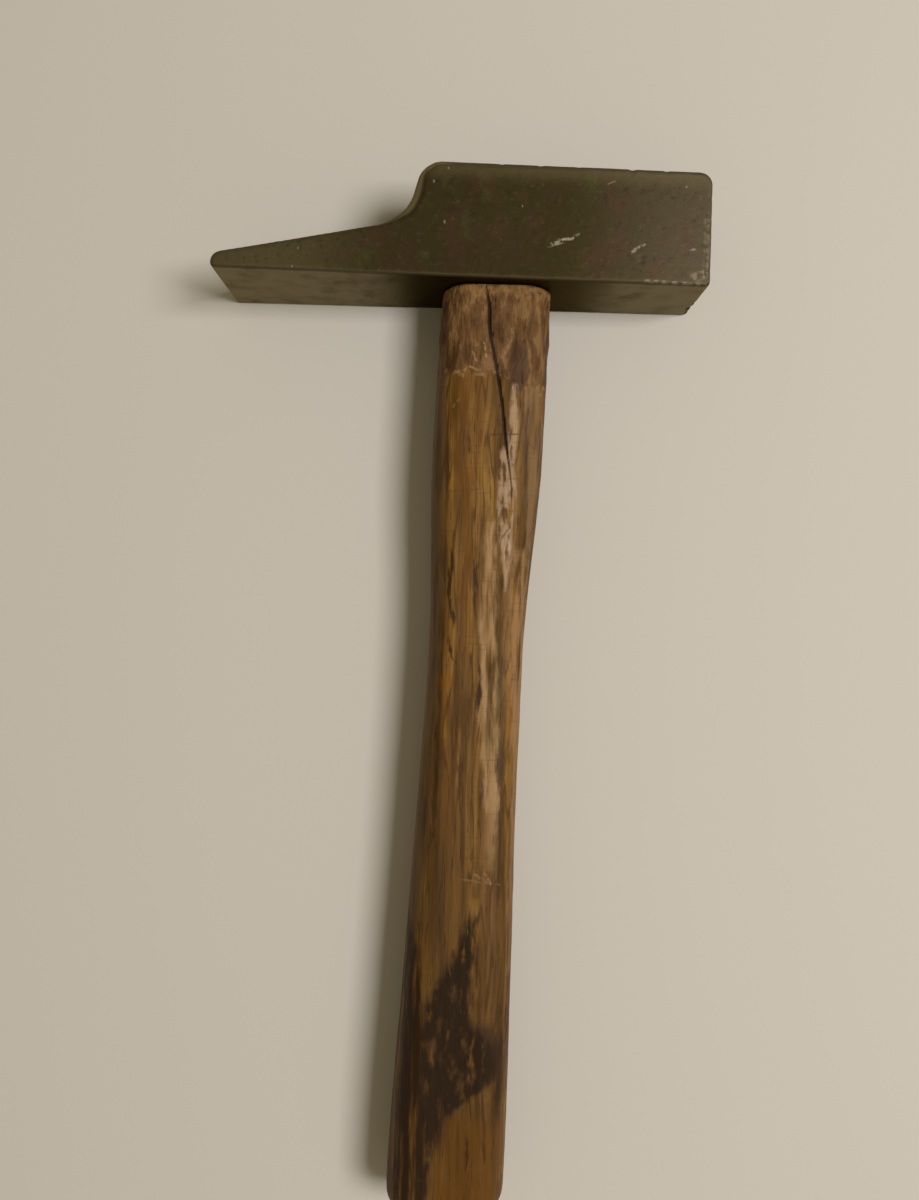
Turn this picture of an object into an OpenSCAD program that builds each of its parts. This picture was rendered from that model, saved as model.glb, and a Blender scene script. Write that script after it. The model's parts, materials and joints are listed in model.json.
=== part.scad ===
// Joiner's cross peen hammer, lying on one cheek of its head.
// X runs along the head, with the striking face at +X and the peen at -X.
// Y runs along the handle, with the head at +Y and the butt at -Y. Z is up.
// The origin is on the lower cheek, on the axis of the eye.

/* [Head] */
// Height of the head from its underside to its crown, along the handle
head_h = 32.4; // [28:0.1:38]
// Distance from the axis of the eye to the striking face
poll_reach = 60; // [50:0.5:75]
// Distance from the axis of the eye to the edge of the peen
peen_reach = 80.5; // [70:0.5:100]
// Width of the head across its cheeks, at the striking face
poll_w = 29.2; // [26:0.1:34]
// Width of the head across its cheeks, at the edge of the peen
peen_w = 34.4; // [30:0.1:40]
// Radius of the crown corner of the striking face
poll_corner_r = 3.7; // [1.5:0.1:6]
// Radius of the underside corner of the striking face
poll_toe_r = 1.3; // [1.3:0.1:4]
// Bevel all round both cheeks
arris = 1; // [0.3:0.1:1.2]

/* [Shoulder and peen] */
// Distance from the axis of the eye to the shoulder, at the crown
shoulder_reach = 22; // [18:0.5:28]
// Lean of the shoulder's flank from square, in degrees
shoulder_lean = 15.5; // [5:0.5:25]
// Radius where the crown turns down into the flank
shoulder_r = 7; // [3:0.5:9]
// Radius where the flank sweeps into the peen
root_r = 13; // [6:0.5:16]
// Slope of the peen's upper side, in degrees
peen_slope = 11.7; // [9:0.1:13]
// Radius of the rounded peen edge
nose_r = 3.2; // [2.4:0.1:4.5]
// Height of the peen edge's centre over the underside
nose_rise = 1.6; // [0.5:0.1:2.2]

/* [Eye] */
// Length of the eye along the head, at the underside
eye_l = 24; // [20:0.5:27]
// Width of the eye across the head, at the underside
eye_w = 15; // [12:0.5:17]
// Flare of the eye's length towards the crown
eye_flare_l = 2; // [0:0.1:4]
// Flare of the eye's width towards the crown
eye_flare_w = 2; // [0.5:0.1:3]
// Clearance all round the tenon in the eye
eye_gap = 0.05; // [0.02:0.01:0.2]

/* [Handle] */
// Length of the handle below the head
handle_l = 271; // [220:1:340]
// Width of the handle under the head
neck_w = 32.2; // [28:0.1:36]
// Thickness of the handle under the head
neck_t = 24; // [20:0.1:28]
// Distance from the head to the swell
swell_at = 45; // [30:1:60]
// Width of the handle at the swell
swell_w = 32.3; // [29:0.1:38]
// Thickness of the handle at the swell
swell_t = 23.6; // [20:0.1:28]
// Distance from the head to the waist
waist_at = 103; // [85:1:130]
// Width of the handle at the waist
waist_w = 28; // [23:0.1:32]
// Thickness of the handle at the waist
waist_t = 22.4; // [18:0.1:25]
// Width of the handle at the butt
butt_w = 34.6; // [28:0.1:40]
// Thickness of the handle at the butt
butt_t = 26; // [22:0.1:30]
// Radius of the edge round the butt
butt_r = 7.5; // [2:0.5:9]
// Radius of the worn edge under the head
neck_r = 1.6; // [0.5:0.1:3]
// Lean of the handle, which sets the butt over towards the peen
lean = 8.3; // [0:0.1:12]
// Clearance between the handle's shoulder and the head
seat_gap = 0.1; // [0.02:0.01:0.5]
// Height of the tenon's sawn end over the crown
tenon_proud = 1; // [0:0.1:3]

/* [Wedges] */
// Depth of the wooden wedge in the tenon
wedge_depth = 24; // [16:0.5:28]
// Thickness of the wooden wedge at the sawn end
wedge_top = 3.5; // [2.5:0.1:4.5]
// Thickness of the wooden wedge at its tip
wedge_tip = 1; // [0.5:0.1:1.5]
// Distance between the middles of the two steel wedges
steel_spacing = 12; // [8:0.5:15]
// Width of a steel wedge, across the head
steel_w = 11; // [8:0.5:13]
// Depth of a steel wedge in the tenon
steel_depth = 14; // [8:0.5:20]
// Thickness of a steel wedge at the sawn end
steel_top = 2.2; // [1.5:0.1:3]
// Thickness of a steel wedge at its tip
steel_tip = 0.5; // [0.3:0.1:1]
// Height of a steel wedge over the sawn end
steel_proud = 0.4; // [0:0.1:1]
// Clearance round each wedge
wedge_gap = 0.05; // [0.02:0.01:0.1]

/* [Hidden] */

steel_colour = [0.30, 0.26, 0.20];
wood_colour = [0.58, 0.42, 0.27];
wedge_wood_colour = [0.66, 0.53, 0.37];
wedge_steel_colour = [0.42, 0.40, 0.37];

// How far a cutting shape passes the surface that it cuts
cut_over = 1;
// Flats along each arc of the head's outline
arc_steps = 10;
// Points round one section of the handle
sides = 40;
// Squareness of a section, from 2 for an ellipse to a box for a large number
handle_squareness = 2.5;
eye_squareness = 4;
// Rings along one stretch of the handle, and round each of its worn edges
stretch_rings = 9;
edge_rings = 5;

crown = head_h / 2;
underside = -head_h / 2;
cheek_tilt = atan((peen_w - poll_w) / (peen_reach + poll_reach));
eye_z = cheek_height(0) / 2;
sawn_end = crown + tenon_proud;

function cheek_height(x) = poll_w + (poll_reach - x) * tan(cheek_tilt);

// Straight lines and their crossings, for the outline of the head
function heading(angle) = [cos(angle), sin(angle)];
function left_of(v) = [-v.y, v.x];
function meet(p, u, q, v) = p + u * cross(q - p, v) / cross(u, v);

// The peen's upper side and the shoulder's flank, each with its outward direction
nose = [nose_r - peen_reach, underside + nose_rise];
peen_run = heading(peen_slope);
peen_out = left_of(peen_run);
peen_start = nose + nose_r * peen_out;
flank_top = [-shoulder_reach, crown];
flank_run = heading(90 - shoulder_lean);
flank_out = left_of(flank_run);

// Centres of the head's rounded corners
root = meet(peen_start + root_r * peen_out, peen_run, flank_top + root_r * flank_out, flank_run);
shoulder = meet([0, crown - shoulder_r], [1, 0], flank_top - shoulder_r * flank_out, flank_run);
poll_corner = [poll_reach - poll_corner_r, crown - poll_corner_r];
poll_toe = [poll_reach - poll_toe_r, underside + poll_toe_r];

// Points along an arc from one heading to another
function arc(centre, r, from, to) = [
    for (i = [0:arc_steps]) centre + r * heading(from + (to - from) * i / arc_steps)
];

// The outline of the head, seen looking down at its cheek and drawn in all round by an inset.
// It starts at the toe of the striking face and turns by the crown, shoulder, root and peen.
function head_outline(inset) =
    let (
        flank_turn = 180 - shoulder_lean,
        nose_end = 180 + asin((nose_rise - inset) / (nose_r - inset))
    )
        concat(
            arc(poll_toe, poll_toe_r - inset, -90, 0),
            arc(poll_corner, poll_corner_r - inset, 0, 90),
            arc(shoulder, shoulder_r - inset, 90, flank_turn),
            arc(root, root_r + inset, flank_turn - 180, peen_slope - 90),
            arc(nose, nose_r - inset, peen_slope + 90, nose_end)
        );
function lower_ring(inset, depth) = [for (p = head_outline(inset)) [p.x, p.y, depth]];
function upper_ring(inset, depth) = [for (p = head_outline(inset)) [p.x, p.y, cheek_height(p.x) - depth]];

// A rounded rectangle or oval as a ring of points about a centre, at height y along the handle
function squared(v, squareness) = sign(v) * pow(abs(v), 2 / squareness);
function ring(y, x, z, l, w, squareness) = [
    for (i = [0:sides - 1])
        let (turn = 360 * i / sides)
            [x + l / 2 * squared(cos(turn), squareness), y, z + w / 2 * squared(sin(turn), squareness)]
];

// A closed skin over rings that follow each other, each drawn anticlockwise as seen from the ring
// before it. Each end is a face that lies in full view of its ring's first two points.
module skin(rings) {
    n = len(rings[0]);
    last = len(rings) - 1;
    walls = [
        for (k = [0:last - 1], i = [0:n - 1])
            let (a = k * n + i, b = k * n + (i + 1) % n)
                each [[a, b, b + n], [a, b + n, a + n]]
    ];
    near_end = [for (i = [n:-1:1]) i % n];
    far_end = [for (i = [1:n]) last * n + i % n];
    polyhedron([for (r = rings) each r], concat([near_end], walls, [far_end]));
}

// A ring of the eye's wall, moved in by a clearance
function eye_share(y) = (y - underside) / head_h;
function eye_ring(y, gap) = ring(
    y, 0, eye_z,
    eye_l + eye_flare_l * eye_share(y) - 2 * gap,
    eye_w + eye_flare_w * eye_share(y) - 2 * gap,
    eye_squareness
);

module eye() {
    skin([eye_ring(underside - cut_over, 0), eye_ring(crown + cut_over, 0)]);
}

module head() {
    color(steel_colour)
        difference() {
            skin([upper_ring(arris, 0), upper_ring(0, arris), lower_ring(0, arris), lower_ring(arris, 0)]);
            eye();
        }
}

// A size at a distance below the head, eased from each of four stations to the next
stations = [0, swell_at, waist_at, handle_l];
widths = [neck_w, swell_w, waist_w, butt_w];
depths = [neck_t, swell_t, waist_t, butt_t];
function ease(share) = let (s = min(max(share, 0), 1)) s * s * (3 - 2 * s);
function along(d, sizes, i = 0) =
    i < len(stations) - 2 && d > stations[i + 1]
        ? along(d, sizes, i + 1)
        : sizes[i] + (sizes[i + 1] - sizes[i]) * ease((d - stations[i]) / (stations[i + 1] - stations[i]));

// A ring of the handle, drawn in all round by an inset where an edge is worn round
function handle_ring(d, inset) = ring(
    underside - seat_gap - d,
    -lean * d / handle_l,
    eye_z + (butt_t / 2 - eye_z) * d / handle_l,
    along(d, widths) - 2 * inset,
    along(d, depths) - 2 * inset,
    handle_squareness
);

butt_edge = [
    for (k = [edge_rings:-1:0])
        let (turn = 90 * k / edge_rings)
            handle_ring(handle_l - butt_r * (1 - sin(turn)), butt_r * (1 - cos(turn)))
];
neck_edge = [
    for (k = [0:edge_rings])
        let (turn = 90 * k / edge_rings)
            handle_ring(neck_r * (1 - sin(turn)), neck_r * (1 - cos(turn)))
];
stops = [neck_r, swell_at, waist_at, handle_l - butt_r];
grip = [
    for (i = [len(stops) - 2:-1:0], k = [stretch_rings - 1:-1:0])
        if (i + k > 0) handle_ring(stops[i] + (stops[i + 1] - stops[i]) * k / stretch_rings, 0)
];

// The tenon, from the handle's shoulder up to its sawn end over the crown
module tenon() {
    skin([eye_ring(underside, eye_gap), eye_ring(sawn_end, eye_gap)]);
}

// A plate that narrows from the sawn end to its tip, thick along X and wide along Z
module taper(top, tip, depth, width, gap = 0, over = 0) {
    translate([0, sawn_end, 0])
        linear_extrude(width + 2 * gap, center = true)
            polygon([
                [-tip / 2 - gap, -depth - gap],
                [tip / 2 + gap, -depth - gap],
                [top / 2 + gap, over],
                [-top / 2 - gap, over]
            ]);
}

module wood_taper(gap = 0, over = 0) {
    translate([0, 0, eye_z])
        rotate([0, 90, 0])
            taper(wedge_top, wedge_tip, wedge_depth, eye_l + eye_flare_l + 2 * cut_over, gap, over);
}

module steel_taper(x, gap = 0, over = steel_proud) {
    translate([x, 0, eye_z])
        taper(steel_top, steel_tip, steel_depth, steel_w, gap, over);
}

module steel_slots() {
    for (x = [-steel_spacing / 2, steel_spacing / 2])
        steel_taper(x, wedge_gap, cut_over);
}

module handle() {
    color(wood_colour)
        difference() {
            skin(concat(
                butt_edge,
                grip,
                neck_edge,
                [eye_ring(underside - seat_gap, eye_gap), eye_ring(sawn_end, eye_gap)]
            ));
            wood_taper(wedge_gap, cut_over);
            steel_slots();
        }
}

module wooden_wedge() {
    color(wedge_wood_colour)
        difference() {
            intersection() {
                wood_taper();
                tenon();
            }
            steel_slots();
        }
}

module steel_wedge_poll_side() {
    color(wedge_steel_colour) steel_taper(steel_spacing / 2);
}

module steel_wedge_peen_side() {
    color(wedge_steel_colour) steel_taper(-steel_spacing / 2);
}

head();
handle();
wooden_wedge();
steel_wedge_poll_side();
steel_wedge_peen_side();
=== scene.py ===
"""Looks of an old joiner's cross peen hammer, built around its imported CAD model."""

import json
import logging
import math
import random
from collections.abc import Callable, Iterable
from dataclasses import dataclass, field
from enum import Enum

import bmesh
import bpy
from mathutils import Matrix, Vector
from mathutils.kdtree import KDTree

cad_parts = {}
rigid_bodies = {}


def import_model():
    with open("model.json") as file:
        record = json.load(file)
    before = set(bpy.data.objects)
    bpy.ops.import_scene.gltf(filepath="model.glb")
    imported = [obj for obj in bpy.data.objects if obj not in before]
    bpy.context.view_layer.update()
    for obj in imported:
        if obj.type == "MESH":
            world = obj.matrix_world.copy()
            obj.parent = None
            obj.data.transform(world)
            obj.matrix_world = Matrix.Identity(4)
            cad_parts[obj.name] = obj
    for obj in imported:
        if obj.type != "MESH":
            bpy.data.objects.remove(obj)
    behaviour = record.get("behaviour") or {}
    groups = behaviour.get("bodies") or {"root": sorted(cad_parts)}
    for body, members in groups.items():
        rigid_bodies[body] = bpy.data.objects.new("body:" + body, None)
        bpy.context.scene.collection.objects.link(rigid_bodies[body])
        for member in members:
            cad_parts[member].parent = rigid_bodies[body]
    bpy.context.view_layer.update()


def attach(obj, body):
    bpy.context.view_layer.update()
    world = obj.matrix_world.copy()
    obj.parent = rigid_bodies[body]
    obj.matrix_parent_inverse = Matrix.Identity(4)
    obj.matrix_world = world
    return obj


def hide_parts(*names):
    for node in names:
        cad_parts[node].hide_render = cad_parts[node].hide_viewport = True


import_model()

MM = 0.001
# How close a vertex or an edge has to be to the place where it is looked for, in metres
NEAR = 1e-4
# How far a rough block or a cutter stands past the surface that it meets, in millimetres
OVER = 2.0
LOG = logging.getLogger("hammer")

Point = tuple[float, float, float]
Spot = tuple[float, float]
Colour = tuple[float, float, float, float]


# Small tools


def linear(hex_colour: str) -> Colour:
    """Turns an sRGB hex colour into a linear one.

    Args:
        hex_colour: six hex digits, such as "6e4f2a".

    Returns:
        Linear red, green and blue, and an alpha of 1.
    """

    def channel(digits: str) -> float:
        """Turns one pair of hex digits into a linear value."""
        value = int(digits, 16) / 255
        return value / 12.92 if value <= 0.04045 else ((value + 0.055) / 1.055) ** 2.4

    return (channel(hex_colour[0:2]), channel(hex_colour[2:4]), channel(hex_colour[4:6]), 1.0)


def metres(x: float, y: float, z: float) -> Vector:
    """Turns millimetres into a point in metres."""
    return Vector((x, y, z)) * MM


def ease(share: float) -> float:
    """Eases a share from 0 to 1, level at both ends."""
    share = min(max(share, 0.0), 1.0)
    return share * share * (3 - 2 * share)


def active() -> bpy.types.Object:
    """Gives the object that the operators act on."""
    return bpy.context.view_layer.objects.active


def deselect_all() -> None:
    """Leaves every object unselected, in object mode."""
    if bpy.context.mode != "OBJECT":
        bpy.ops.object.mode_set(mode="OBJECT")
    bpy.ops.object.select_all(action="DESELECT")


def take(piece: bpy.types.Object) -> None:
    """Selects one object alone and makes it the active one.

    Args:
        piece: the object.
    """
    deselect_all()
    piece.select_set(True)
    bpy.context.view_layer.objects.active = piece


def named(name: str) -> bpy.types.Object:
    """Names the active object and its mesh.

    Args:
        name: their new name.

    Returns:
        The active object.
    """
    piece = active()
    piece.name = piece.data.name = name
    return piece


def settle(piece: bpy.types.Object) -> bpy.types.Object:
    """Moves a piece's place, turn and size into its mesh.

    Args:
        piece: the piece.

    Returns:
        The same piece, now selected alone.
    """
    take(piece)
    bpy.ops.object.transform_apply(location=True, rotation=True, scale=True)
    return piece


def add_block(name: str, size: Point, middle: Point) -> bpy.types.Object:
    """Adds a block.

    Args:
        name: its name.
        size: its size along X, Y and Z, in millimetres.
        middle: its middle, in millimetres.

    Returns:
        The block, selected alone.
    """
    deselect_all()
    bpy.ops.mesh.primitive_cube_add(size=1)
    piece = named(name)
    piece.scale, piece.location = metres(*size), metres(*middle)
    return settle(piece)


def edit(mode: str) -> bmesh.types.BMesh:
    """Opens the active object in edit mode with nothing selected.

    Args:
        mode: what is selected, "VERT", "EDGE" or "FACE".

    Returns:
        The mesh that is being edited.
    """
    if bpy.context.mode != "EDIT_MESH":
        bpy.ops.object.mode_set(mode="EDIT")
    bpy.ops.mesh.select_mode(type=mode)
    bpy.ops.mesh.select_all(action="DESELECT")
    return bmesh.from_edit_mesh(active().data)


def edit_whole(mode: str) -> None:
    """Opens the active object in edit mode with all of its mesh selected.

    Args:
        mode: what is selected, "VERT", "EDGE" or "FACE".
    """
    edit(mode)
    bpy.ops.mesh.select_all(action="SELECT")


def pick(mode: str, wanted: Callable[[object], bool]) -> None:
    """Selects the parts of the active object's mesh that pass a test.

    Args:
        mode: what is tested, "VERT", "EDGE" or "FACE".
        wanted: the test, given each vertex, edge or face.
    """
    mesh = edit(mode)
    parts = {"VERT": mesh.verts, "EDGE": mesh.edges, "FACE": mesh.faces}[mode]
    for part in parts:
        if wanted(part):
            part.select_set(True)
    mesh.select_flush_mode()
    bmesh.update_edit_mesh(active().data)


def extrude(step: Vector, sizes: Point, middle: Vector) -> None:
    """Extrudes the selected face and resizes its new end.

    Args:
        step: how far it is extruded, in millimetres.
        sizes: what the new end is multiplied by along X, Y and Z.
        middle: the point that it is resized about, in millimetres.
    """
    bpy.ops.mesh.extrude_region_move(TRANSFORM_OT_translate={"value": step * MM})
    bpy.ops.transform.resize(value=sizes, center_override=middle * MM)


def close_end(middle: Vector, shares: Iterable[float]) -> None:
    """Closes the selected end with rings that draw in to its middle, so that it can be smoothed.

    Args:
        middle: its middle, in millimetres.
        shares: the size of each ring as a share of the one before.
    """
    for share in shares:
        extrude(Vector((0, 0, 0)), (share, 1, share), middle)
    bpy.ops.mesh.poke()


def smoothed(piece: bpy.types.Object) -> bpy.types.Object:
    """Shades a piece smoothly.

    Args:
        piece: the piece.

    Returns:
        The same piece.
    """
    take(piece)
    bpy.ops.object.shade_smooth()
    return piece


def modify(piece: bpy.types.Object, kind: str, **settings: object) -> None:
    """Applies a modifier to a piece.

    Args:
        piece: the piece.
        kind: the modifier's type.
        settings: the modifier's own properties.
    """
    take(piece)
    modifier = piece.modifiers.new(kind, kind)
    for key, value in settings.items():
        setattr(modifier, key, value)
    bpy.ops.object.modifier_apply(modifier=modifier.name)


def cut_away(piece: bpy.types.Object, cutters: Iterable[bpy.types.Object]) -> None:
    """Cuts other meshes out of a piece and deletes them.

    Args:
        piece: the piece.
        cutters: the meshes, each a closed solid.
    """
    for cutter in cutters:
        modify(piece, "BOOLEAN", operation="DIFFERENCE", solver="EXACT", object=cutter)
        bpy.data.objects.remove(cutter, do_unlink=True)


@dataclass(frozen=True)
class Relief:
    """An uneven surface, pressed into a mesh by a procedural pattern.

    Attributes:
        name: what the unevenness is.
        grain: the pattern's size along X, Y and Z, in millimetres.
        height: how far the surface moves between its lowest and highest points, in millimetres.
        depth: how many finer patterns lie on the first one.
        middle: the pattern's value that doesn't move the surface.
        group: the vertex group that it is limited to, or an empty name.
        seed: moves the pattern to another place.
    """

    name: str
    grain: Point
    height: float
    depth: int = 2
    middle: float = 0.5
    group: str = ""
    seed: float = 0.0

    def press(self, piece: bpy.types.Object) -> None:
        """Presses the pattern into a piece along its normals.

        Args:
            piece: the piece.
        """
        pattern = bpy.data.textures.new(self.name, "CLOUDS")
        pattern.noise_scale = 1.0
        pattern.noise_depth = self.depth
        anchor = bpy.data.objects.new(self.name, None)
        bpy.context.scene.collection.objects.link(anchor)
        anchor.scale = metres(*self.grain)
        anchor.location = anchor.scale * self.seed
        bpy.context.view_layer.update()
        modify(
            piece,
            "DISPLACE",
            texture=pattern,
            texture_coords="OBJECT",
            texture_coords_object=anchor,
            strength=self.height * MM,
            mid_level=self.middle,
            vertex_group=self.group,
        )
        bpy.data.objects.remove(anchor, do_unlink=True)
        bpy.data.textures.remove(pattern)


def fit_out(piece: bpy.types.Object, material: bpy.types.Material, slot: str, *nodes: str) -> None:
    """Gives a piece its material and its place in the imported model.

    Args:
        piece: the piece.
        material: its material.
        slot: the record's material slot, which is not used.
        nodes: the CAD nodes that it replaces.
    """
    piece.data.materials.clear()
    piece.data.materials.append(material)
    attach(piece, "root")
    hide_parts(*nodes)
    piece.data.calc_loop_triangles()
    LOG.info("%s: %d triangles", piece.name, len(piece.data.loop_triangles))


# Shapes


@dataclass
class Head:
    """The forged head: a square poll block, a swept shoulder and a long one-sided peen.

    Lengths are in millimetres and angles in degrees. Down to eye_flare they are the CAD part's.

    Attributes:
        eye_corner: the radius of the eye's corners.
        tip_radius: the radius of the peen's lower edge.
        arc_pieces: how many straight pieces each rounded corner has.
        voxel: the cell of the skin that is laid over the cut shape.
        bevel: the width of the softened arrises.
        band_full: how far in from a band's end the wear has its full drop.
        band_drop: how far the worn band drops at the outline.
        band_depth: how far under the cheek the wear reaches.
        band_fade: the height over which it grows to its full strength there.
        band_low: the lowest Y that the wear reaches.
        crown_band: the worn band's widths along the crown, at the shoulder and at the poll.
        shoulder_band: its widths round the shoulder, at the crown and halfway down.
    """

    height: float = 32.4
    poll_reach: float = 60.0
    peen_reach: float = 80.5
    poll_width: float = 29.2
    peen_width: float = 34.4
    poll_corner: float = 3.7
    poll_toe: float = 1.3
    shoulder_reach: float = 22.0
    shoulder_lean: float = 15.5
    shoulder_radius: float = 7.0
    root_radius: float = 13.0
    peen_slope: float = 11.7
    nose_radius: float = 3.2
    nose_rise: float = 1.6
    eye_length: float = 24.0
    eye_width: float = 15.0
    eye_flare: float = 2.0
    eye_corner: float = 4.6
    tip_radius: float = 1.2
    arc_pieces: int = 14
    voxel: float = 0.46
    bevel: float = 0.6
    band_full: float = 3.2
    band_drop: float = 0.9
    band_depth: float = 3.5
    band_fade: float = 2.5
    band_low: float = -10.0
    crown_band: Spot = (1.7, 0.8)
    shoulder_band: Spot = (2.4, 3.2)

    @property
    def crown(self) -> float:
        """The height of the crown over the head's middle."""
        return self.height / 2

    def cheek(self, x: float) -> float:
        """Gives the height of the upper cheek over the lower one, at an X."""
        fall = (self.peen_width - self.poll_width) / (self.peen_reach + self.poll_reach)
        return self.poll_width + (self.poll_reach - x) * fall

    def corners(self) -> dict[str, Spot]:
        """Finds the head's sharp corners, before they are rounded.

        Returns:
            Each corner's X and Y by its name.
        """
        slope = math.radians(self.peen_slope)
        nose = (
            self.nose_radius - self.peen_reach - self.nose_radius * math.sin(slope),
            self.nose_rise - self.crown + self.nose_radius * math.cos(slope),
        )
        lean = math.tan(math.radians(self.shoulder_lean))
        run = -self.shoulder_reach - nose[0] - lean * (self.crown - nose[1])
        rise = math.tan(slope) * run / (1 - lean * math.tan(slope))
        root_y = nose[1] + rise
        return {
            "root": (-self.shoulder_reach - lean * (self.crown - root_y), root_y),
            "shoulder": (-self.shoulder_reach, self.crown),
            "nose": (-self.peen_reach, nose[1] - math.tan(slope) * (nose[0] + self.peen_reach)),
            "tip": (-self.peen_reach, -self.crown),
            "corner": (self.poll_reach, self.crown),
            "toe": (self.poll_reach, -self.crown),
        }

    def build(self) -> bpy.types.Object:
        """Models the head from a cube.

        Returns:
            The finished head, not yet dressed.
        """
        corner = self.corners()
        long, tall = self.poll_reach - corner["root"][0], self.peen_width + OVER
        middle = (self.poll_reach - long / 2, 0, tall / 2)
        piece = add_block("forged_head", (long, self.height, tall), middle)
        self._draw_peen(corner)
        self._cut_cheek()
        self._round_outline(corner)
        modify(
            piece,
            "BEVEL",
            limit_method="ANGLE",
            width=self.bevel * MM,
            segments=2,
            use_clamp_overlap=False,
        )
        # Where two rounded edges meet, the bevel leaves vertices one on another.
        modify(piece, "WELD", merge_threshold=0.01 * MM)
        cut_away(piece, [self._eye()])
        cut_away(piece, self._chips())
        # An even mesh is laid over the cut shape, for the wear and the relief to move.
        modify(piece, "REMESH", mode="VOXEL", voxel_size=self.voxel * MM)
        modify(piece, "SMOOTH", factor=0.5, iterations=2)
        self._wear(piece)
        # Forging leaves shallow hollows the size of a hammer's face. The pits in real scale are under
        # half a millimetre wide, and are drawn here as coarse as the mesh can hold.
        for relief in (
            Relief("hammered_skin", (20, 20, 20), 0.14, 1, middle=0.85, seed=3.3),
            Relief("scale_pits", (2.6, 2.6, 2.6), 0.05, 2, middle=0.7, seed=1.7),
        ):
            relief.press(piece)
        return smoothed(piece)

    def dress(self, piece: bpy.types.Object) -> None:
        """Dresses the head in forged steel."""
        fit_out(piece, ForgedSteel().build(), "forged_steel", "head")

    def _draw_peen(self, corner: dict[str, Spot]) -> None:
        """Extrudes the peen from the lower part of the block's left side.

        Args:
            corner: the head's sharp corners.
        """
        left, root_y = corner["root"]
        edit_whole("FACE")
        bpy.ops.mesh.bisect(plane_co=metres(0, root_y, 0), plane_no=(0, 1, 0))
        pick("FACE", lambda f: f.normal.x < -0.9 and f.calc_center_median().y < root_y * MM)
        bpy.ops.mesh.extrude_region_move(
            TRANSFORM_OT_translate={"value": metres(-self.peen_reach - left, 0, 0)}
        )
        end = -self.peen_reach * MM + NEAR
        pick("VERT", lambda v: v.co.x < end and v.co.y > root_y * MM - NEAR)
        bpy.ops.transform.translate(value=metres(0, corner["nose"][1] - root_y, 0))
        high = self.crown * MM - NEAR
        pick("VERT", lambda v: abs(v.co.x - left * MM) < NEAR and v.co.y > high)
        bpy.ops.transform.translate(value=metres(corner["shoulder"][0] - left, 0, 0))

    def _cut_cheek(self) -> None:
        """Cuts the upper cheek, which falls from the peen to the poll."""
        bpy.ops.mesh.select_all(action="SELECT")
        fall = self.cheek(0) - self.cheek(1)
        bpy.ops.mesh.bisect(
            plane_co=metres(0, 0, self.cheek(0)),
            plane_no=Vector((fall, 0, 1)).normalized(),
            use_fill=True,
            clear_outer=True,
        )
        pick("FACE", lambda f: f.normal.z < -0.9 or f.normal.z > 0.9)
        bpy.ops.mesh.dissolve_faces()

    def _round_outline(self, corner: dict[str, Spot]) -> None:
        """Rounds the corners of the outline that run from cheek to cheek.

        Args:
            corner: the head's sharp corners.
        """
        turns = {
            "root": (self.root_radius, 90 - self.shoulder_lean - self.peen_slope),
            "shoulder": (self.shoulder_radius, 90 - self.shoulder_lean),
            "nose": (self.nose_radius, 90 - self.peen_slope),
            "tip": (self.tip_radius, 90),
            "corner": (self.poll_corner, 90),
            "toe": (self.poll_toe, 90),
        }
        for name, (radius, turn) in turns.items():
            x, y = corner[name]

            def at_corner(edge: bmesh.types.BMEdge) -> bool:
                """Tells whether an edge stands upright at the corner."""
                return all(abs(v.co.x - x * MM) + abs(v.co.y - y * MM) < NEAR for v in edge.verts)

            pick("EDGE", at_corner)
            bpy.ops.mesh.bevel(
                offset=radius * math.tan(math.radians(turn / 2)) * MM,
                offset_type="OFFSET",
                segments=self.arc_pieces,
                affect="EDGES",
            )
        bpy.ops.object.mode_set(mode="OBJECT")

    def _turn(self, corner: Spot, before: Spot, after: Spot, radius: float) -> list[Vector]:
        """Rounds one corner of the outline.

        Args:
            corner: the sharp corner.
            before: the corner before it.
            after: the corner after it.
            radius: the round's radius.

        Returns:
            Points along the round.
        """
        tip = Vector(corner)
        back = (Vector(before) - tip).normalized()
        on = (Vector(after) - tip).normalized()
        half = back.angle(on) / 2
        centre = tip + (back + on).normalized() * radius / math.sin(half)
        start, end = (tip + side * radius / math.tan(half) for side in (back, on))
        return [
            centre + (start - centre).slerp(end - centre, step / self.arc_pieces) * radius
            for step in range(self.arc_pieces + 1)
        ]

    def _shoulder_line(self) -> KDTree:
        """Finds the upper outline from the peen over the shoulder to the poll's corner.

        Returns:
            Points along it, 0.25 mm apart at most, to be searched for the nearest.
        """
        at = self.corners()
        line = [
            Vector(at["nose"]),
            *self._turn(at["root"], at["nose"], at["shoulder"], self.root_radius),
            *self._turn(at["shoulder"], at["root"], at["corner"], self.shoulder_radius),
            Vector(at["corner"]),
        ]
        points = []
        for start, end in zip(line, line[1:]):
            count = math.ceil((end - start).length / 0.25)
            points += [start.lerp(end, step / count) for step in range(count)]
        tree = KDTree(len(points))
        for index, point in enumerate(points):
            tree.insert((*point, 0), index)
        tree.balance()
        return tree

    def _band_width(self, x: float, y: float) -> float:
        """Gives the width of the worn band at a point of the upper outline.

        Along the crown it narrows over the 55 mm from X -10 to the poll. Round the shoulder it widens
        over the 7 mm below Y 14, and it closes over the 8 mm below Y 4. The peen has none.

        Args:
            x: the point's X.
            y: its Y.

        Returns:
            The width.
        """
        if y > self.crown - 0.5:
            start, end = self.crown_band
            return start + (end - start) * ease((x + 10) / 55)
        if x > -40:
            start, full = self.shoulder_band
            return start + (full - start) * ease((14 - y) / 7) - full * ease((4 - y) / 8)
        return 0.0

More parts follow.
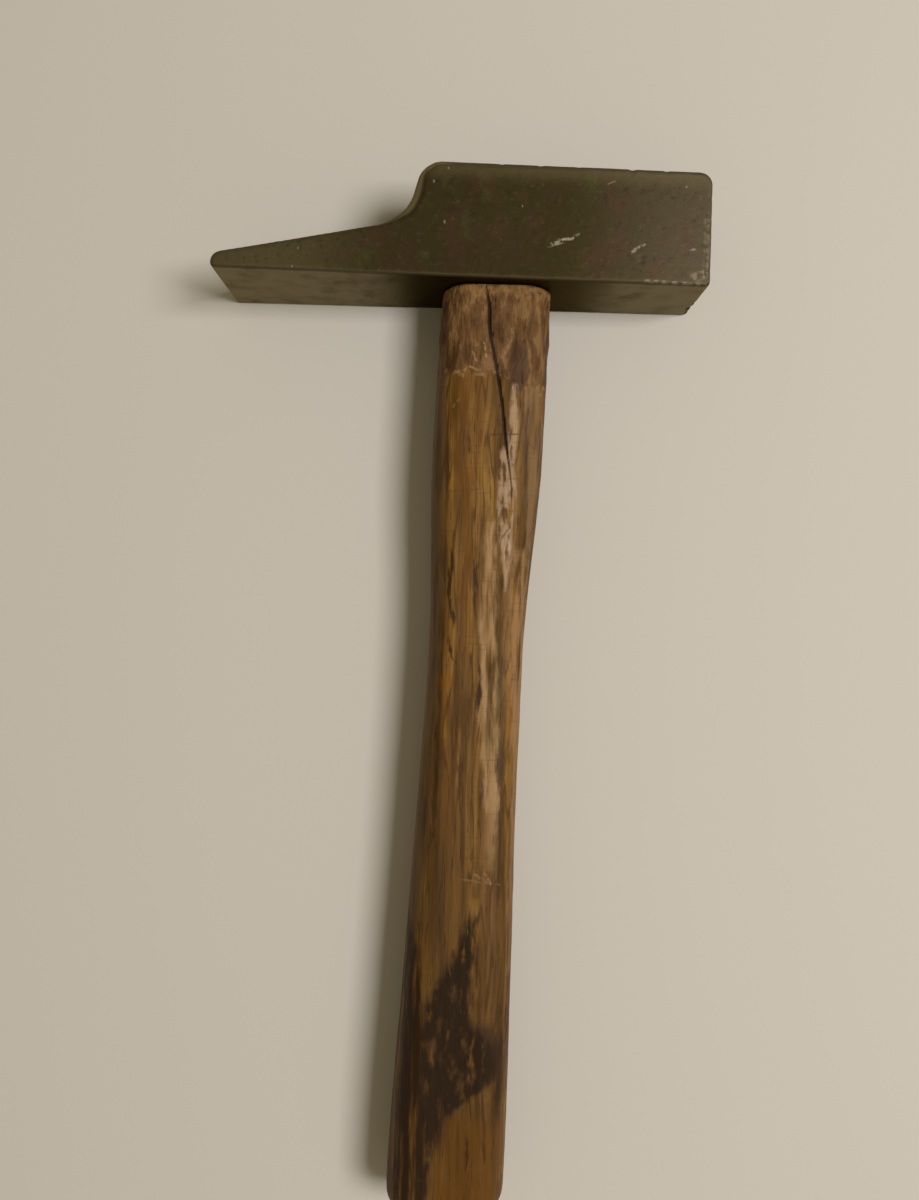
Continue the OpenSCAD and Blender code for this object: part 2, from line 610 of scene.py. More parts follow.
    def _wear(self, piece: bpy.types.Object) -> None:
        """Slopes a band of the upper cheek down to the outline, where use has worn it.

        Args:
            piece: the head.
        """
        outline = self._shoulder_line()
        group = piece.vertex_groups.new(name="worn")
        for vertex in piece.data.vertices:
            x, y, z = vertex.co / MM
            over = z - self.cheek(x) + self.band_depth
            if over > 0 and y > self.band_low:
                near, _, distance = outline.find((x, y, 0))
                share = (self._band_width(near.x, near.y) - distance) / self.band_full
                share *= min(1, over / self.band_fade)
                if share > 0:
                    group.add([vertex.index], min(share, 1) ** 1.5, "REPLACE")
        drop = -self.band_drop * MM
        modify(piece, "DISPLACE", direction="Z", vertex_group=group.name, mid_level=0, strength=drop)
        modify(piece, "SMOOTH", factor=0.5, iterations=3)

    def _eye(self) -> bpy.types.Object:
        """Models the eye as a solid that is cut out of the head.

        Returns:
            The cutter.
        """
        flare = self.eye_flare / self.height
        middle = self.cheek(0) / 2
        size = (self.eye_length, self.height + 2 * OVER, self.eye_width)
        piece = add_block("eye", size, (0, 0, middle))
        for y, sign in ((-self.crown - OVER, -1), (self.crown + OVER, 1)):
            grown = flare * (y + self.crown)
            pick("VERT", lambda v: v.co.y * sign > 0)
            bpy.ops.transform.resize(
                value=(1 + grown / self.eye_length, 1, 1 + grown / self.eye_width),
                center_override=metres(0, y, middle),
            )
        pick("EDGE", lambda e: abs(e.verts[0].co.y - e.verts[1].co.y) > self.crown * MM)
        bpy.ops.mesh.bevel(offset=self.eye_corner * MM, segments=8, affect="EDGES")
        bpy.ops.object.mode_set(mode="OBJECT")
        return piece

    def _chip_spots(self, draw: random.Random) -> list[tuple[Point, float]]:
        """Chooses where the arrises that have struck other steel are chipped.

        Args:
            draw: the source of chance.

        Returns:
            Each chip's middle and radius, in millimetres.
        """
        reach, crown = self.poll_reach, self.crown
        # Three chips run together at the poll's toe, and two shallow pits lie on the cheek.
        spots: list[tuple[Point, float]] = [
            ((reach + 0.5, -crown - 0.5, 7.2), 2.6),
            ((reach + 0.4, -crown - 0.4, 11.6), 1.7),
            ((reach + 0.4, -crown - 0.4, 3.2), 2.0),
            ((40.2, -10.0, self.cheek(40) + 0.25), 0.7),
            ((39.9, -8.6, self.cheek(40) + 0.25), 0.6),
        ]
        # Along the cheek's lower arris, the striking face and the crown
        for step in range(9):
            x = 43 + step * 1.9 + draw.uniform(-0.7, 0.7)
            spots.append(((x, -crown, self.cheek(x)), draw.uniform(0.35, 0.75)))
        for step in range(6):
            y = -12 + step * 4.2 + draw.uniform(-1.5, 1.5)
            spots.append(((reach, y, self.cheek(reach)), draw.uniform(0.4, 0.8)))
        for step in range(5):
            x = step * 11 + draw.uniform(-4, 4)
            spots.append(((x, crown + 0.2, self.cheek(x) - 0.3), draw.uniform(0.5, 0.9)))
        return spots

    def _chips(self) -> list[bpy.types.Object]:
        """Models the chips as rough balls that are cut out of the head.

        Returns:
            The cutters.
        """
        draw = random.Random(11)
        cutters = []
        for place, radius in self._chip_spots(draw):
            deselect_all()
            bpy.ops.mesh.primitive_ico_sphere_add(
                subdivisions=2,
                radius=radius * MM,
                location=metres(*place),
                rotation=[draw.uniform(0, math.tau) for _ in range(3)],
            )
            cutters.append(settle(named("chip")))
        return cutters


@dataclass
class Crack:
    """A split in the wood: a blade-shaped gap that follows the grain.

    Attributes:
        name: what the gap is.
        run: X and Y of the points that it passes, in millimetres.
        width: its widest opening, in millimetres.
        depth: how deep it goes, in millimetres.
        taper: the share of its opening that it loses on its way.
        least: its smallest opening, as a share of its widest.
    """

    name: str
    run: tuple[Spot, ...]
    width: float
    depth: float
    taper: float = 0.9
    least: float = 0.12

    def build(self, surface: Callable[[float, float], float]) -> bpy.types.Object:
        """Models the gap as a solid that is cut out of the wood.

        Args:
            surface: gives the height of the wood's upper side at an X and Y.

        Returns:
            The cutter.
        """
        deselect_all()
        bpy.ops.mesh.primitive_circle_add(
            vertices=3, radius=1, fill_type="NGON", rotation=(math.pi / 2, 0, 0)
        )
        piece = named(self.name)
        points = [Vector((x, y, surface(x, y))) for x, y in self.run]
        piece.scale = metres(self.width / 2, 1, self.depth)
        piece.location = points[0] * MM
        settle(piece)
        edit_whole("VERT")
        last = len(points) - 1
        share = 1.0
        for step in range(1, last + 1):
            new = max(1 - self.taper * step / last, self.least)
            extrude(points[step] - points[step - 1], (new / share, 1, new / share), points[step])
            share = new
        bpy.ops.mesh.select_all(action="SELECT")
        bpy.ops.mesh.normals_make_consistent(inside=False)
        bpy.ops.object.mode_set(mode="OBJECT")
        return piece


@dataclass
class Handle:
    """The hardwood handle, from its thick butt by a waist and a swell to the tenon in the eye.

    Lengths are in millimetres. Down to neck_radius, and in roundness, they are the CAD part's.

    Attributes:
        stations: distances below the head at which the section is given.
        widths: its width at each.
        depths: its depth at each.
        lean: how far the butt lies to the peen's side of the head's middle.
        neck_radius: the radius of the neck's upper edge.
        tenon_gap: how much room the tenon leaves in the eye, on each side.
        neck_inset: how far the neck's edge is drawn in, as a share of its radius.
        ring_spacing: the distance between the sections that are modelled.
        roundness: the power of the section's curve, 2 for an ellipse, by which its side is found.
        torn: how far down the neck the wood is torn.
        torn_fade: the length over which that fades out at its lower end.
        torn_start: the length over which it grows under the head.
    """

    length: float = 271.0
    stations: tuple[float, ...] = (0.0, 45.0, 103.0, 271.0)
    widths: tuple[float, ...] = (32.2, 32.3, 28.0, 34.6)
    depths: tuple[float, ...] = (24.0, 23.6, 22.4, 26.0)
    lean: float = 8.3
    butt_radius: float = 7.5
    seat_gap: float = 0.1
    tenon_proud: float = 1.0
    neck_radius: float = 1.6
    tenon_gap: float = 0.3
    neck_inset: float = 0.8
    ring_spacing: float = 4.4
    roundness: float = 2.5
    torn: float = 28.0
    torn_fade: float = 5.0
    torn_start: float = 1.5
    head: Head = field(default_factory=Head)

    def along(self, distance: float, sizes: tuple[float, ...]) -> float:
        """Gives a size at a distance below the head, eased between stations.

        Args:
            distance: how far below the head.
            sizes: the size at each station.

        Returns:
            The size there.
        """
        last = len(self.stations) - 2
        for i in range(last + 1):
            low, high = self.stations[i], self.stations[i + 1]
            if distance <= high or i == last:
                return sizes[i] + (sizes[i + 1] - sizes[i]) * ease((distance - low) / (high - low))
        return sizes[-1]

    def centre(self, distance: float) -> Vector:
        """Finds the middle of the section at a distance below the head.

        Args:
            distance: how far below the head.

        Returns:
            The middle, in millimetres.
        """
        eye = self.head.cheek(0) / 2
        share = distance / self.length
        return Vector(
            (
                -self.lean * share,
                -self.head.crown - self.seat_gap - distance,
                eye + (self.depths[-1] / 2 - eye) * share,
            )
        )

    def surface(self, x: float, y: float) -> float:
        """Finds the height of the upper side.

        Args:
            x: the X of the place.
            y: its Y.

        Returns:
            The height, in millimetres.
        """
        distance = -self.head.crown - y
        middle = self.centre(distance)
        half = self.along(distance, self.widths) / 2
        # Past this share of its width the side turns down too steeply to follow.
        share = min(abs(x - middle.x) / half, 0.98)
        rise = (1 - share**self.roundness) ** (1 / self.roundness)
        return middle.z + self.along(distance, self.depths) / 2 * rise

    def rings(self) -> list[tuple[Vector, float, float]]:
        """Lists the sections from the butt to the neck.

        Returns:
            The middle, width and depth of each, in millimetres.
        """
        found = []

        def add(distance: float, inset: float) -> None:
            """Adds a section that is drawn in all round.

            Args:
                distance: how far below the head it lies.
                inset: how far it is drawn in.
            """
            width, depth = (self.along(distance, s) - 2 * inset for s in (self.widths, self.depths))
            found.append((self.centre(distance), width, depth))

        butt_steps, neck_steps = 6, 3
        for i in range(butt_steps + 1):
            turn = math.radians(90 * (butt_steps - i) / butt_steps)
            drop = self.butt_radius * (1 - math.sin(turn))
            add(self.length - drop, self.butt_radius * (1 - math.cos(turn)))
        reach = self.length - self.butt_radius - self.neck_radius
        count = round(reach / self.ring_spacing)
        for i in range(1, count):
            add(self.length - self.butt_radius - reach * i / count, 0)
        for i in range(neck_steps + 1):
            turn = math.radians(90 * i / neck_steps)
            drop, inset = (self.neck_radius * (1 - part) for part in (math.sin(turn), math.cos(turn)))
            add(drop, inset * self.neck_inset)
        return found

    def build(self) -> bpy.types.Object:
        """Models the handle section by section.

        Returns:
            The plain handle, neither carved nor dressed.
        """
        rings = self.rings()
        butt, width, depth = rings[0]
        deselect_all()
        bpy.ops.mesh.primitive_plane_add(size=1, rotation=(math.pi / 2, 0, 0))
        piece = named("wooden_handle")
        piece.scale = metres(width, depth, 1)
        piece.location = butt * MM
        settle(piece)
        # Corners rounded nearly to the middle make the section, and its flats are cut up as finely.
        edit_whole("VERT")
        thin = min(width, depth)
        bpy.ops.mesh.bevel(offset=0.46 * thin * MM, segments=8, profile=0.5, affect="VERTICES")
        pick("EDGE", lambda e: e.calc_length() > 0.2 * thin * MM)
        bpy.ops.mesh.subdivide(number_cuts=3)
        edit_whole("FACE")
        place = butt
        for new_place, new_width, new_depth in rings[1:]:
            extrude(new_place - place, (new_width / width, 1, new_depth / depth), new_place)
            place, width, depth = new_place, new_width, new_depth
        self._draw_tenon(place, width, depth)
        # The handle was drawn up from one face with many corners, which still closes the butt.
        pick("FACE", lambda f: len(f.verts) > 20 and abs(f.calc_center_median().y - butt.y * MM) < NEAR)
        close_end(butt, (0.9, 0.75, 0.7, 0.6))
        bpy.ops.mesh.select_all(action="SELECT")
        bpy.ops.mesh.normals_make_consistent(inside=False)
        bpy.ops.object.mode_set(mode="OBJECT")
        modify(piece, "SUBSURF", levels=2, render_levels=2)
        return piece

    def _draw_tenon(self, place: Vector, width: float, depth: float) -> None:
        """Draws the tenon from the neck's upper side through the eye.

        Args:
            place: the middle of the neck's upper side, in millimetres.
            width: its width.
            depth: its depth.
        """
        head = self.head
        eye = Vector((0, place.y, head.cheek(0) / 2))
        length, thick = (size - 2 * self.tenon_gap for size in (head.eye_length, head.eye_width))
        extrude(eye - place, (length / width, 1, thick / depth), eye)
        top = head.height + self.tenon_proud
        steps = 6
        up = Vector((0, top / steps, 0))
        grown = head.eye_flare * top / head.height / steps
        for _ in range(steps):
            eye = eye + up
            extrude(up, ((length + grown) / length, 1, (thick + grown) / thick), eye)
            length, thick = length + grown, thick + grown
        close_end(eye, (0.93, 0.7, 0.7, 0.6))

    def _weigh_neck(self, piece: bpy.types.Object) -> str:
        """Groups the vertices of the torn neck.

        Args:
            piece: the handle.

        Returns:
            The group's name.
        """
        group = piece.vertex_groups.new(name="neck")
        top = -self.head.crown
        for vertex in piece.data.vertices:
            below = top - vertex.co.y / MM
            if 0 < below < self.torn:
                share = ease((self.torn - below) / self.torn_fade) * ease(below / self.torn_start)
                group.add([vertex.index], share, "REPLACE")
        return group.name

    def carve(self, piece: bpy.types.Object, wedges: "Wedges") -> None:
        """Weathers the wood, splits it and cuts the kerf and slots for the wedges.

        Args:
            piece: the handle.
            wedges: the wedges that are driven into it.
        """
        # Years in the hand wear wood unevenly over a finger's width, and the softer part of each
        # growth ring sinks between the harder ones, which stand a millimetre or two apart. Knocks
        # dent it over 5 mm, and missed blows have torn splinters 3 mm wide out below the head.
        for relief in (
            Relief("hand_wear", (22, 60, 22), 0.7, 1, seed=2.3),
            Relief("grain_ridges", (1.7, 34, 1.7), 0.22, 2, seed=5.1),
            Relief("knocks", (5, 8, 5), 0.22, 2, seed=8.7),
            Relief("torn_neck", (3.2, 8, 3.2), 1.1, 2, 0.62, self._weigh_neck(piece), 3.9),
        ):
            relief.press(piece)
        cut_away(piece, [Crack("split", SPLIT, 1.25, 4.0).build(self.surface)])
        cut_away(piece, wedges.slots())
        smoothed(piece)

    def dress(self, piece: bpy.types.Object) -> None:
        """Dresses the handle in old oiled wood."""
        fit_out(piece, OldHandleWood(self).build(), "handle_wood", "handle")


@dataclass
class Wedges:
    """The wooden wedge along the eye and the two steel ones across it.

    Lengths are in millimetres. Down to tenon_proud they are the CAD part's.

    Attributes:
        tenon_proud: how far the tenon's sawn end stands over the crown.
        end_room: how much shorter than the eye the wooden wedge is.
        tip_length: its length at its tip, as a share of its length at its top.
        wood_proud: how far the wooden wedge stands over the sawn end.
        tenon_gap: the room between a wedge and its slot in the tenon.
        wood_gap: the same for the steel wedges' slots in the wooden one.
        voxel: the cell of the skin that is laid over a wedge.
    """

    wood_depth: float = 24.0
    wood_top: float = 3.5
    wood_tip: float = 1.0
    steel_spacing: float = 12.0
    steel_width: float = 11.0
    steel_depth: float = 14.0
    steel_top: float = 2.2
    steel_tip: float = 0.5
    steel_proud: float = 0.4
    tenon_proud: float = 1.0
    end_room: float = 1.0
    tip_length: float = 0.93
    wood_proud: float = 0.25
    tenon_gap: float = 0.08
    wood_gap: float = 0.05
    voxel: float = 0.25
    head: Head = field(default_factory=Head)

    def _plate(
        self, name: str, x: float, size: Point, tip_share: Point, over: float
    ) -> bpy.types.Object:
        """Models a plate that narrows towards its tip.

        Args:
            name: the name of the piece.
            x: how far it stands from the middle of the eye.
            size: its length, depth and thickness along X, Y and Z.
            tip_share: the size of its tip as a share of its top, along X, Y and Z.
            over: how far it stands over the sawn end.

        Returns:
            The plate.
        """
        top = self.head.crown + self.tenon_proud + over
        middle = (x, top - size[1] / 2, self.head.cheek(0) / 2)
        piece = add_block(name, size, middle)
        pick("VERT", lambda v: v.co.y < middle[1] * MM)
        bpy.ops.transform.resize(value=tip_share, center_override=metres(*middle))
        bpy.ops.object.mode_set(mode="OBJECT")
        return piece

    def _roughen(self, piece: bpy.types.Object, arris: float, height: float) -> bpy.types.Object:
        """Rounds a plate's arrises and presses a hammered or sawn surface into it.

        Args:
            piece: the plate.
            arris: the width of its rounded arrises.
            height: how uneven its surface is.

        Returns:
            The same plate.
        """
        modify(piece, "BEVEL", width=arris * MM, segments=3)
        modify(piece, "REMESH", mode="VOXEL", voxel_size=self.voxel * MM)
        # A hammer's blows and a coarse saw both leave marks between 1 and 2 mm wide.
        Relief("beaten", (1.6, 1.6, 1.6), height, 2, middle=0.6).press(piece)
        return smoothed(piece)

    def wood_blank(self, name: str, gap: float = 0.0, over: float = 0.0) -> bpy.types.Object:
        """Models the wooden wedge's plain shape.

        Args:
            name: the name of the piece.
            gap: how far it is grown on each side.
            over: how far it stands over the sawn end.

        Returns:
            The shape.
        """
        length = self.head.eye_length + self.head.eye_flare - self.end_room
        tip = (self.wood_tip + 2 * gap) / (self.wood_top + 2 * gap)
        size = (length + 2 * gap, self.wood_depth + over, self.wood_top + 2 * gap)
        return self._plate(name, 0.0, size, (self.tip_length, 1, tip), over)

    def steel_blank(
        self, name: str, side: int, gap: float = 0.0, over: float = 0.0
    ) -> bpy.types.Object:
        """Models one steel wedge's plain shape.

        Args:
            name: the name of the piece.
            side: 1 for the one by the poll and -1 for the one by the peen.
            gap: how far it is grown on each side.
            over: how far it stands over the sawn end.

        Returns:
            The shape.
        """
        tip = (self.steel_tip + 2 * gap) / (self.steel_top + 2 * gap)
        size = (self.steel_top + 2 * gap, self.steel_depth + over, self.steel_width + 2 * gap)
        return self._plate(name, side * self.steel_spacing / 2, size, (tip, 1, 1), over)

    def slots(self) -> list[bpy.types.Object]:
        """Models what the wedges take out of the tenon.

        Returns:
            The cutters.
        """
        return [
            self.wood_blank("kerf", self.tenon_gap, OVER),
            *(self.steel_blank("slot", side, self.tenon_gap, OVER) for side in (1, -1)),
        ]

    def build(self) -> dict[str, bpy.types.Object]:
        """Models the three wedges.

        Returns:
            The pieces by the names of the CAD nodes that they replace.
        """
        wood = self.wood_blank("driven_wooden_wedge", 0.0, self.wood_proud)
        cut_away(wood, [self.steel_blank("slot", side, self.wood_gap, OVER) for side in (1, -1)])
        pieces = {"wooden_wedge": self._roughen(wood, arris=0.15, height=0.25)}
        for side, where in ((1, "poll"), (-1, "peen")):
            steel = self.steel_blank(f"steel_wedge_by_{where}", side, 0.0, self.steel_proud)
            pieces[f"steel_wedge_{where}_side"] = self._roughen(steel, arris=0.3, height=0.2)
        return pieces

    def dress(self, pieces: dict[str, bpy.types.Object]) -> None:
        """Dresses the wedges in their finishes.

        Args:
            pieces: the pieces by the names of the CAD nodes that they replace.
        """
        materials = {finish: finish.value.build() for finish in WedgeFinish}
        for node, piece in pieces.items():
            finish = WedgeFinish.WOOD if node == "wooden_wedge" else WedgeFinish.STEEL
            fit_out(piece, materials[finish], finish.value.slot, node)


# Finishes


def add_node(
    tree: bpy.types.NodeTree, kind: str, inputs: dict | None = None, **settings: object
) -> bpy.types.Node:
    """Adds a shader node with its settings and links.

    Args:
        tree: the node tree.
        kind: the node's type, without its "ShaderNode" prefix.
        inputs: for each input's name or number, a value, a socket or a node's first output.
        settings: the node's own properties.

    Returns:
        The new node.
    """
    node = tree.nodes.new("ShaderNode" + kind)
    for key, value in settings.items():
        setattr(node, key, value)
    for key, value in (inputs or {}).items():
        if isinstance(value, bpy.types.Node):
            value = next(s for s in value.outputs if s.enabled)
        if isinstance(value, bpy.types.NodeSocket):
            tree.links.new(value, node.inputs[key])
        else:
            node.inputs[key].default_value = value
    return node


@dataclass(frozen=True)
class Mark:
    """A straight scratch or smear on the side that faces up.

    Attributes:
        start: its first X and Y, in millimetres.
        end: its last X and Y, in millimetres.
        width: its width, in millimetres.
        strength: how far it covers what is under it, from 0 to 1.
        colour: its sRGB hex colour.
    """

    start: Spot
    end: Spot
    width: float
    strength: float
    colour: str = "a59d89"


class Coat:
    """A material that is laid on in layers, each where a mask says."""

    def __init__(self, name: str, rough: float, base: str = "808080") -> None:
        """Starts a material with one colour all over.

        Args:
            name: the material's name.
            rough: its roughness.
            base: its first colour, in sRGB hex, which may be shaded over.
        """
        self.material = bpy.data.materials.new(name)
        self.material.use_nodes = True
        self.tree = self.material.node_tree
        self.tree.nodes.clear()
        seen = add_node(self.tree, "TexCoord").outputs["Object"]
        self.place = add_node(self.tree, "VectorMath", {0: seen, "Scale": 1 / MM}, operation="SCALE")
        axes = add_node(self.tree, "SeparateXYZ", {0: self.place}).outputs
        self.x, self.y, self.z = (axes[axis] for axis in "XYZ")
        self.colour: object = linear(base)
        self.rough: object = rough
        self.height: object = None

    def times(self, *masks: object) -> object:
        """Multiplies masks with each other.

        Args:
            masks: the masks, of which at least one isn't a plain number.

        Returns:
            The mask that they leave.
        """
        whole = masks[0]
        for mask in masks[1:]:
            whole = add_node(self.tree, "Math", {0: whole, 1: mask}, operation="MULTIPLY")
        return whole

    def pattern(
        self, grain: Point, detail: float = 3.0, place: object = None, roughness: float = 0.55
    ) -> bpy.types.Node:
        """Lays an uneven pattern whose patches have a real size.

        Args:
            grain: the size of a patch along X, Y and Z, in millimetres.
            detail: how many finer patterns lie on it.
            place: where the pattern is read, or None for the plain place.
            roughness: how strong the finer patterns are.

        Returns:
            A node whose first output runs from 0 to 1 about 0.5.
        """
        scaled = add_node(
            self.tree,
            "VectorMath",
            {0: place or self.place, 1: tuple(1 / size for size in grain)},
            operation="MULTIPLY",
        )
        return add_node(
            self.tree,
            "TexNoise",
            {"Vector": scaled, "Scale": 1.0, "Detail": detail, "Roughness": roughness},
        )

    def even(self, size: float, detail: float = 3.0) -> bpy.types.Node:
        """Lays an uneven pattern whose patches are as long as they are wide.

        Args:
            size: the size of a patch, in millimetres.
            detail: how many finer patterns lie on it.

        Returns:
            A node whose first output runs from 0 to 1 about 0.5.
        """
        return self.pattern((size, size, size), detail)

    def warped(self, grain: Point, reach: Point) -> bpy.types.Node:
        """Gives the place, moved to and fro by a pattern.

        Args:
            grain: the size of the pattern's patches, in millimetres.
            reach: how far it moves the place along X, Y and Z, in millimetres.

        Returns:
            A node with the moved place.
        """
        shift = add_node(
            self.tree,
            "VectorMath",
            {0: self.pattern(grain, 2).outputs["Color"], 1: (0.5, 0.5, 0.5)},
            operation="SUBTRACT",
        )
        return add_node(
            self.tree,
            "VectorMath",
            {0: shift, 1: tuple(2 * r for r in reach), 2: self.place},
            operation="MULTIPLY_ADD",
        )

    def ramp(self, value: object, low: float, high: float, top: float = 1.0) -> bpy.types.Node:
        """Turns a value into a mask that rises smoothly from 0 to a top.

        Args:
            value: what the mask depends on.
            low: the value where the mask is 0.
            high: the value where it is full. It may be the lower one.
            top: the mask's full strength.

        Returns:
            A node with the mask.
        """
        return add_node(
            self.tree,
            "MapRange",
            {"Value": value, "From Min": low, "From Max": high, "To Max": top},
            interpolation_type="SMOOTHSTEP",
        )

    def shade(self, value: object, stops: tuple[tuple[float, str], ...]) -> None:
        """Colours the whole surface by a value.

        Args:
            value: what the colour depends on, from 0 to 1.
            stops: values and the sRGB hex colour at each.
        """
        ramp = add_node(self.tree, "ValToRGB", {0: value})
        while len(ramp.color_ramp.elements) < len(stops):
            ramp.color_ramp.elements.new(0.5)
        for element, (place, colour) in zip(ramp.color_ramp.elements, stops):
            element.position = place
            element.color = linear(colour)
        self.colour = ramp.outputs[0]

    def lay(self, colour: str, *masks: object) -> None:
        """Lays a colour over what is there.

        Args:
            colour: the new colour, in sRGB hex.
            masks: where it lies, each from 0 to 1, which are multiplied.
        """
        inputs = {0: self.times(*masks), 6: self.colour, 7: linear(colour)}
        self.colour = add_node(self.tree, "Mix", inputs, data_type="RGBA").outputs[2]

    def polish(self, roughness: float, mask: object) -> None:
        """Gives a place its own roughness.

        Args:
            roughness: how rough it is.
            mask: where it lies, from 0 to 1.
        """
        inputs = {0: mask, 2: self.rough, 3: roughness}
        self.rough = add_node(self.tree, "Mix", inputs, data_type="FLOAT").outputs[0]

    def raise_by(self, value: object, height: float) -> None:
        """Raises the surface for the light.

        Args:
            value: how much of the height each place has, from 0 to 1.
            height: the full height, in millimetres.
        """
        part = add_node(self.tree, "Math", {0: value, 1: height}, operation="MULTIPLY")
        if self.height is not None:
            part = add_node(self.tree, "Math", {0: part, 1: self.height}, operation="ADD")
        self.height = part

    def draw(self, marks: Iterable[Mark], *masks: object) -> None:
        """Draws straight marks.

        Args:
            marks: the marks, from the lowest to the topmost.
            masks: what each of them is limited by.
        """
        for mark in marks:
            start, end = Vector((*mark.start, 0)), Vector((*mark.end, 0))
            along = (end - start).normalized()
            across = Vector((-along.y, along.x, 0))
            inputs = {0: self.place, 1: (start + end) / 2}
            out = add_node(self.tree, "VectorMath", inputs, operation="SUBTRACT")
            inside = []
            for direction, reach, soft in (
                (along, (end - start).length / 2, mark.width),
                (across, mark.width / 2, mark.width / 2),
            ):
                inputs = {0: out, 1: direction}
                far = add_node(self.tree, "VectorMath", inputs, operation="DOT_PRODUCT")
                size = add_node(self.tree, "Math", {0: far.outputs["Value"]}, operation="ABSOLUTE")
                inside.append(self.ramp(size, reach + soft / 2, reach - soft / 2))
            self.lay(mark.colour, *inside, *masks, mark.strength)

    def finish(
        self, metallic: float, bump: float = 1.0, gloss: float = 0.5, glance: str = "ffffff"
    ) -> bpy.types.Material:
        """Joins the layers to the surface.

        Args:
            metallic: 1 for bare metal, 0 for anything else, and between them under a thin skin.
            bump: how strongly the raised surface shows.
            gloss: how much the surface mirrors where it isn't metal, 0.5 for most things.
            glance: the sRGB hex tint of what it mirrors when seen nearly edge on.

        Returns:
            The material.
        """
        inputs: dict = {
            "Base Color": self.colour,
            "Roughness": self.rough,
            "Metallic": metallic,
            "Specular IOR Level": gloss,
            "Specular Tint": linear(glance),
        }
        if self.height is not None:
            inputs["Normal"] = add_node(
                self.tree, "Bump", {"Height": self.height, "Strength": bump, "Distance": MM}
            )
        surface = add_node(self.tree, "BsdfPrincipled", inputs)
        add_node(self.tree, "OutputMaterial", {"Surface": surface})
        return self.material


@dataclass(frozen=True)
class Patch:
    """A patch of another colour on the handle's upper side, between two lines along it.

    Attributes:
        left: X and Y of the points on its left line, in millimetres, from the head down.
        right: the same for its right line.
        soft: how wide its edge fades, in millimetres.
        colour: its sRGB hex colour.
        strength: how far it covers the wood under it, from 0 to 1.
        roughness: how rough it is, or None where it is like the wood round it.
    """

    left: tuple[Spot, ...]
    right: tuple[Spot, ...]
    soft: float
    colour: str
    strength: float
    roughness: float | None = None


def groove(
    run: tuple[Spot, ...], width: float, colour: str, strength: float, soft: float = 0.7
) -> Patch:
    """Makes a patch that is a narrow line and tapers at both ends.

    Args:
        run: X and Y of the points that it passes, in millimetres, from the head down.
        width: its widest opening, in millimetres.
        colour: its sRGB hex colour.
        strength: how far it covers the wood under it, from 0 to 1.
        soft: how wide its edge fades, in millimetres.

    Returns:
        The patch.
    """
    half = [0.0, *[width / 2] * (len(run) - 2), 0.0]
    left, right = (tuple((x + side * h, y) for (x, y), h in zip(run, half)) for side in (-1, 1))
    return Patch(left, right, soft, colour, strength)



# The split that runs down from the head, X and Y in millimetres, like every line below
SPLIT = (
    (-4.0, -15.5), (-2.4, -22), (-1.9, -30), (-0.6, -36), (0.8, -43), (2.2, -51), (3.6, -62), (5.9, -78),
)

# The broad bands of the grain, golden to the left and grey-brown to the right, with painted light on the
# upper left flank and a dark stain and painted shade on the flank near the butt
GRAIN_PATCHES_WITH_PAINTED_FLANK_SHADING = (
    Patch(((-13.5, -42), (-12.5, -64), (-10.5, -84), (-9.8, -107), (-10.1, -128)),
          ((-2.0, -42), (-1.2, -64), (-3.8, -84), (-3.7, -107), (-5.0, -128)), 3, "5f3b09", 0.75),
    Patch(((-13.8, -128), (-12.8, -150), (-13.6, -176)),
          ((-7.8, -128), (-7.0, -150), (-8.6, -176)), 3, "754a10", 0.7),
    Patch(((-3.2, -84), (-3.4, -106), (-3.0, -135), (-1.2, -158), (0.2, -184)),
          ((2.0, -84), (3.1, -106), (3.9, -135), (4.8, -158), (4.6, -184)), 2,
          "9f7d55", 0.88, 0.42),
    Patch(((8.5, -42), (8.6, -70), (9.2, -92)),
          ((14.6, -42), (14.8, -70), (13.0, -92)), 2, "7f6344", 0.65),
    # Painted light on the upper left flank, which faces away from the lamp
    Patch(((-21, -42), (-20, -100), (-22, -200)),
          ((-13.4, -42), (-12.6, -100), (-14.0, -200)), 2, "6e532f", 0.6),
    Patch(((4.8, -92), (5.8, -121), (6.6, -150), (7.2, -182), (7.6, -215)),
          ((11.5, -92), (11.5, -121), (11.5, -150), (11.5, -182), (11.0, -215)), 2, "94704a", 0.75),
    Patch(((-19, -150), (-20, -205)), ((-5.0, -150), (-7.0, -205)), 5, "3f2a10", 0.4),
    Patch(((-2.0, -168), (-2.5, -186), (0.0, -205)),
          ((5.0, -168), (6.0, -186), (8.0, -205)), 4, "72502d", 0.5),
    Patch(((-9.0, -255), (-11.5, -262), (-12.5, -284)),
          ((8.5, -247), (9.5, -262), (9.5, -284)), 3, "6d450e", 0.8),
    # Partly a dark stain and partly painted shade on the left flank near the butt
    Patch(((-23, -190), (-23, -230), (-24, -284)),
          ((-20.6, -190), (-15.4, -214), (-14.6, -236), (-12.2, -284)), 2.5, "180900", 0.97),
)

# The pale strip beside the split, which the hand has polished
WORN_PATCHES = (
    Patch(((4.3, -45), (3.7, -55), (3.4, -60), (1.4, -65), (1.0, -78), (2.0, -90), (3.8, -104)),
          ((6.8, -45), (7.3, -55), (7.2, -60), (7.1, -65), (7.1, -78), (6.6, -90), (5.4, -104)), 1.2,
          "a5896b", 0.8, 0.27),
)

# The dark hollow under the head and the two pale splinters beside it
NECK_PATCHES = (
    Patch(((5.4, -28), (4.2, -34), (2.6, -41), (4.0, -47)),
          ((6.0, -28), (8.0, -34), (9.8, -41), (8.6, -47)), 1.2, "44301f", 0.8, 0.6),
    Patch(((3.6, -29), (2.2, -35), (1.4, -39)),
          ((4.6, -29), (3.6, -35), (2.4, -39)), 0.8, "9a7a52", 0.5),
    Patch(((7.4, -30), (9.6, -38), (9.0, -45.5)),
          ((8.2, -30), (10.8, -38), (10.2, -45.5)), 0.8, "94744c", 0.4),
)

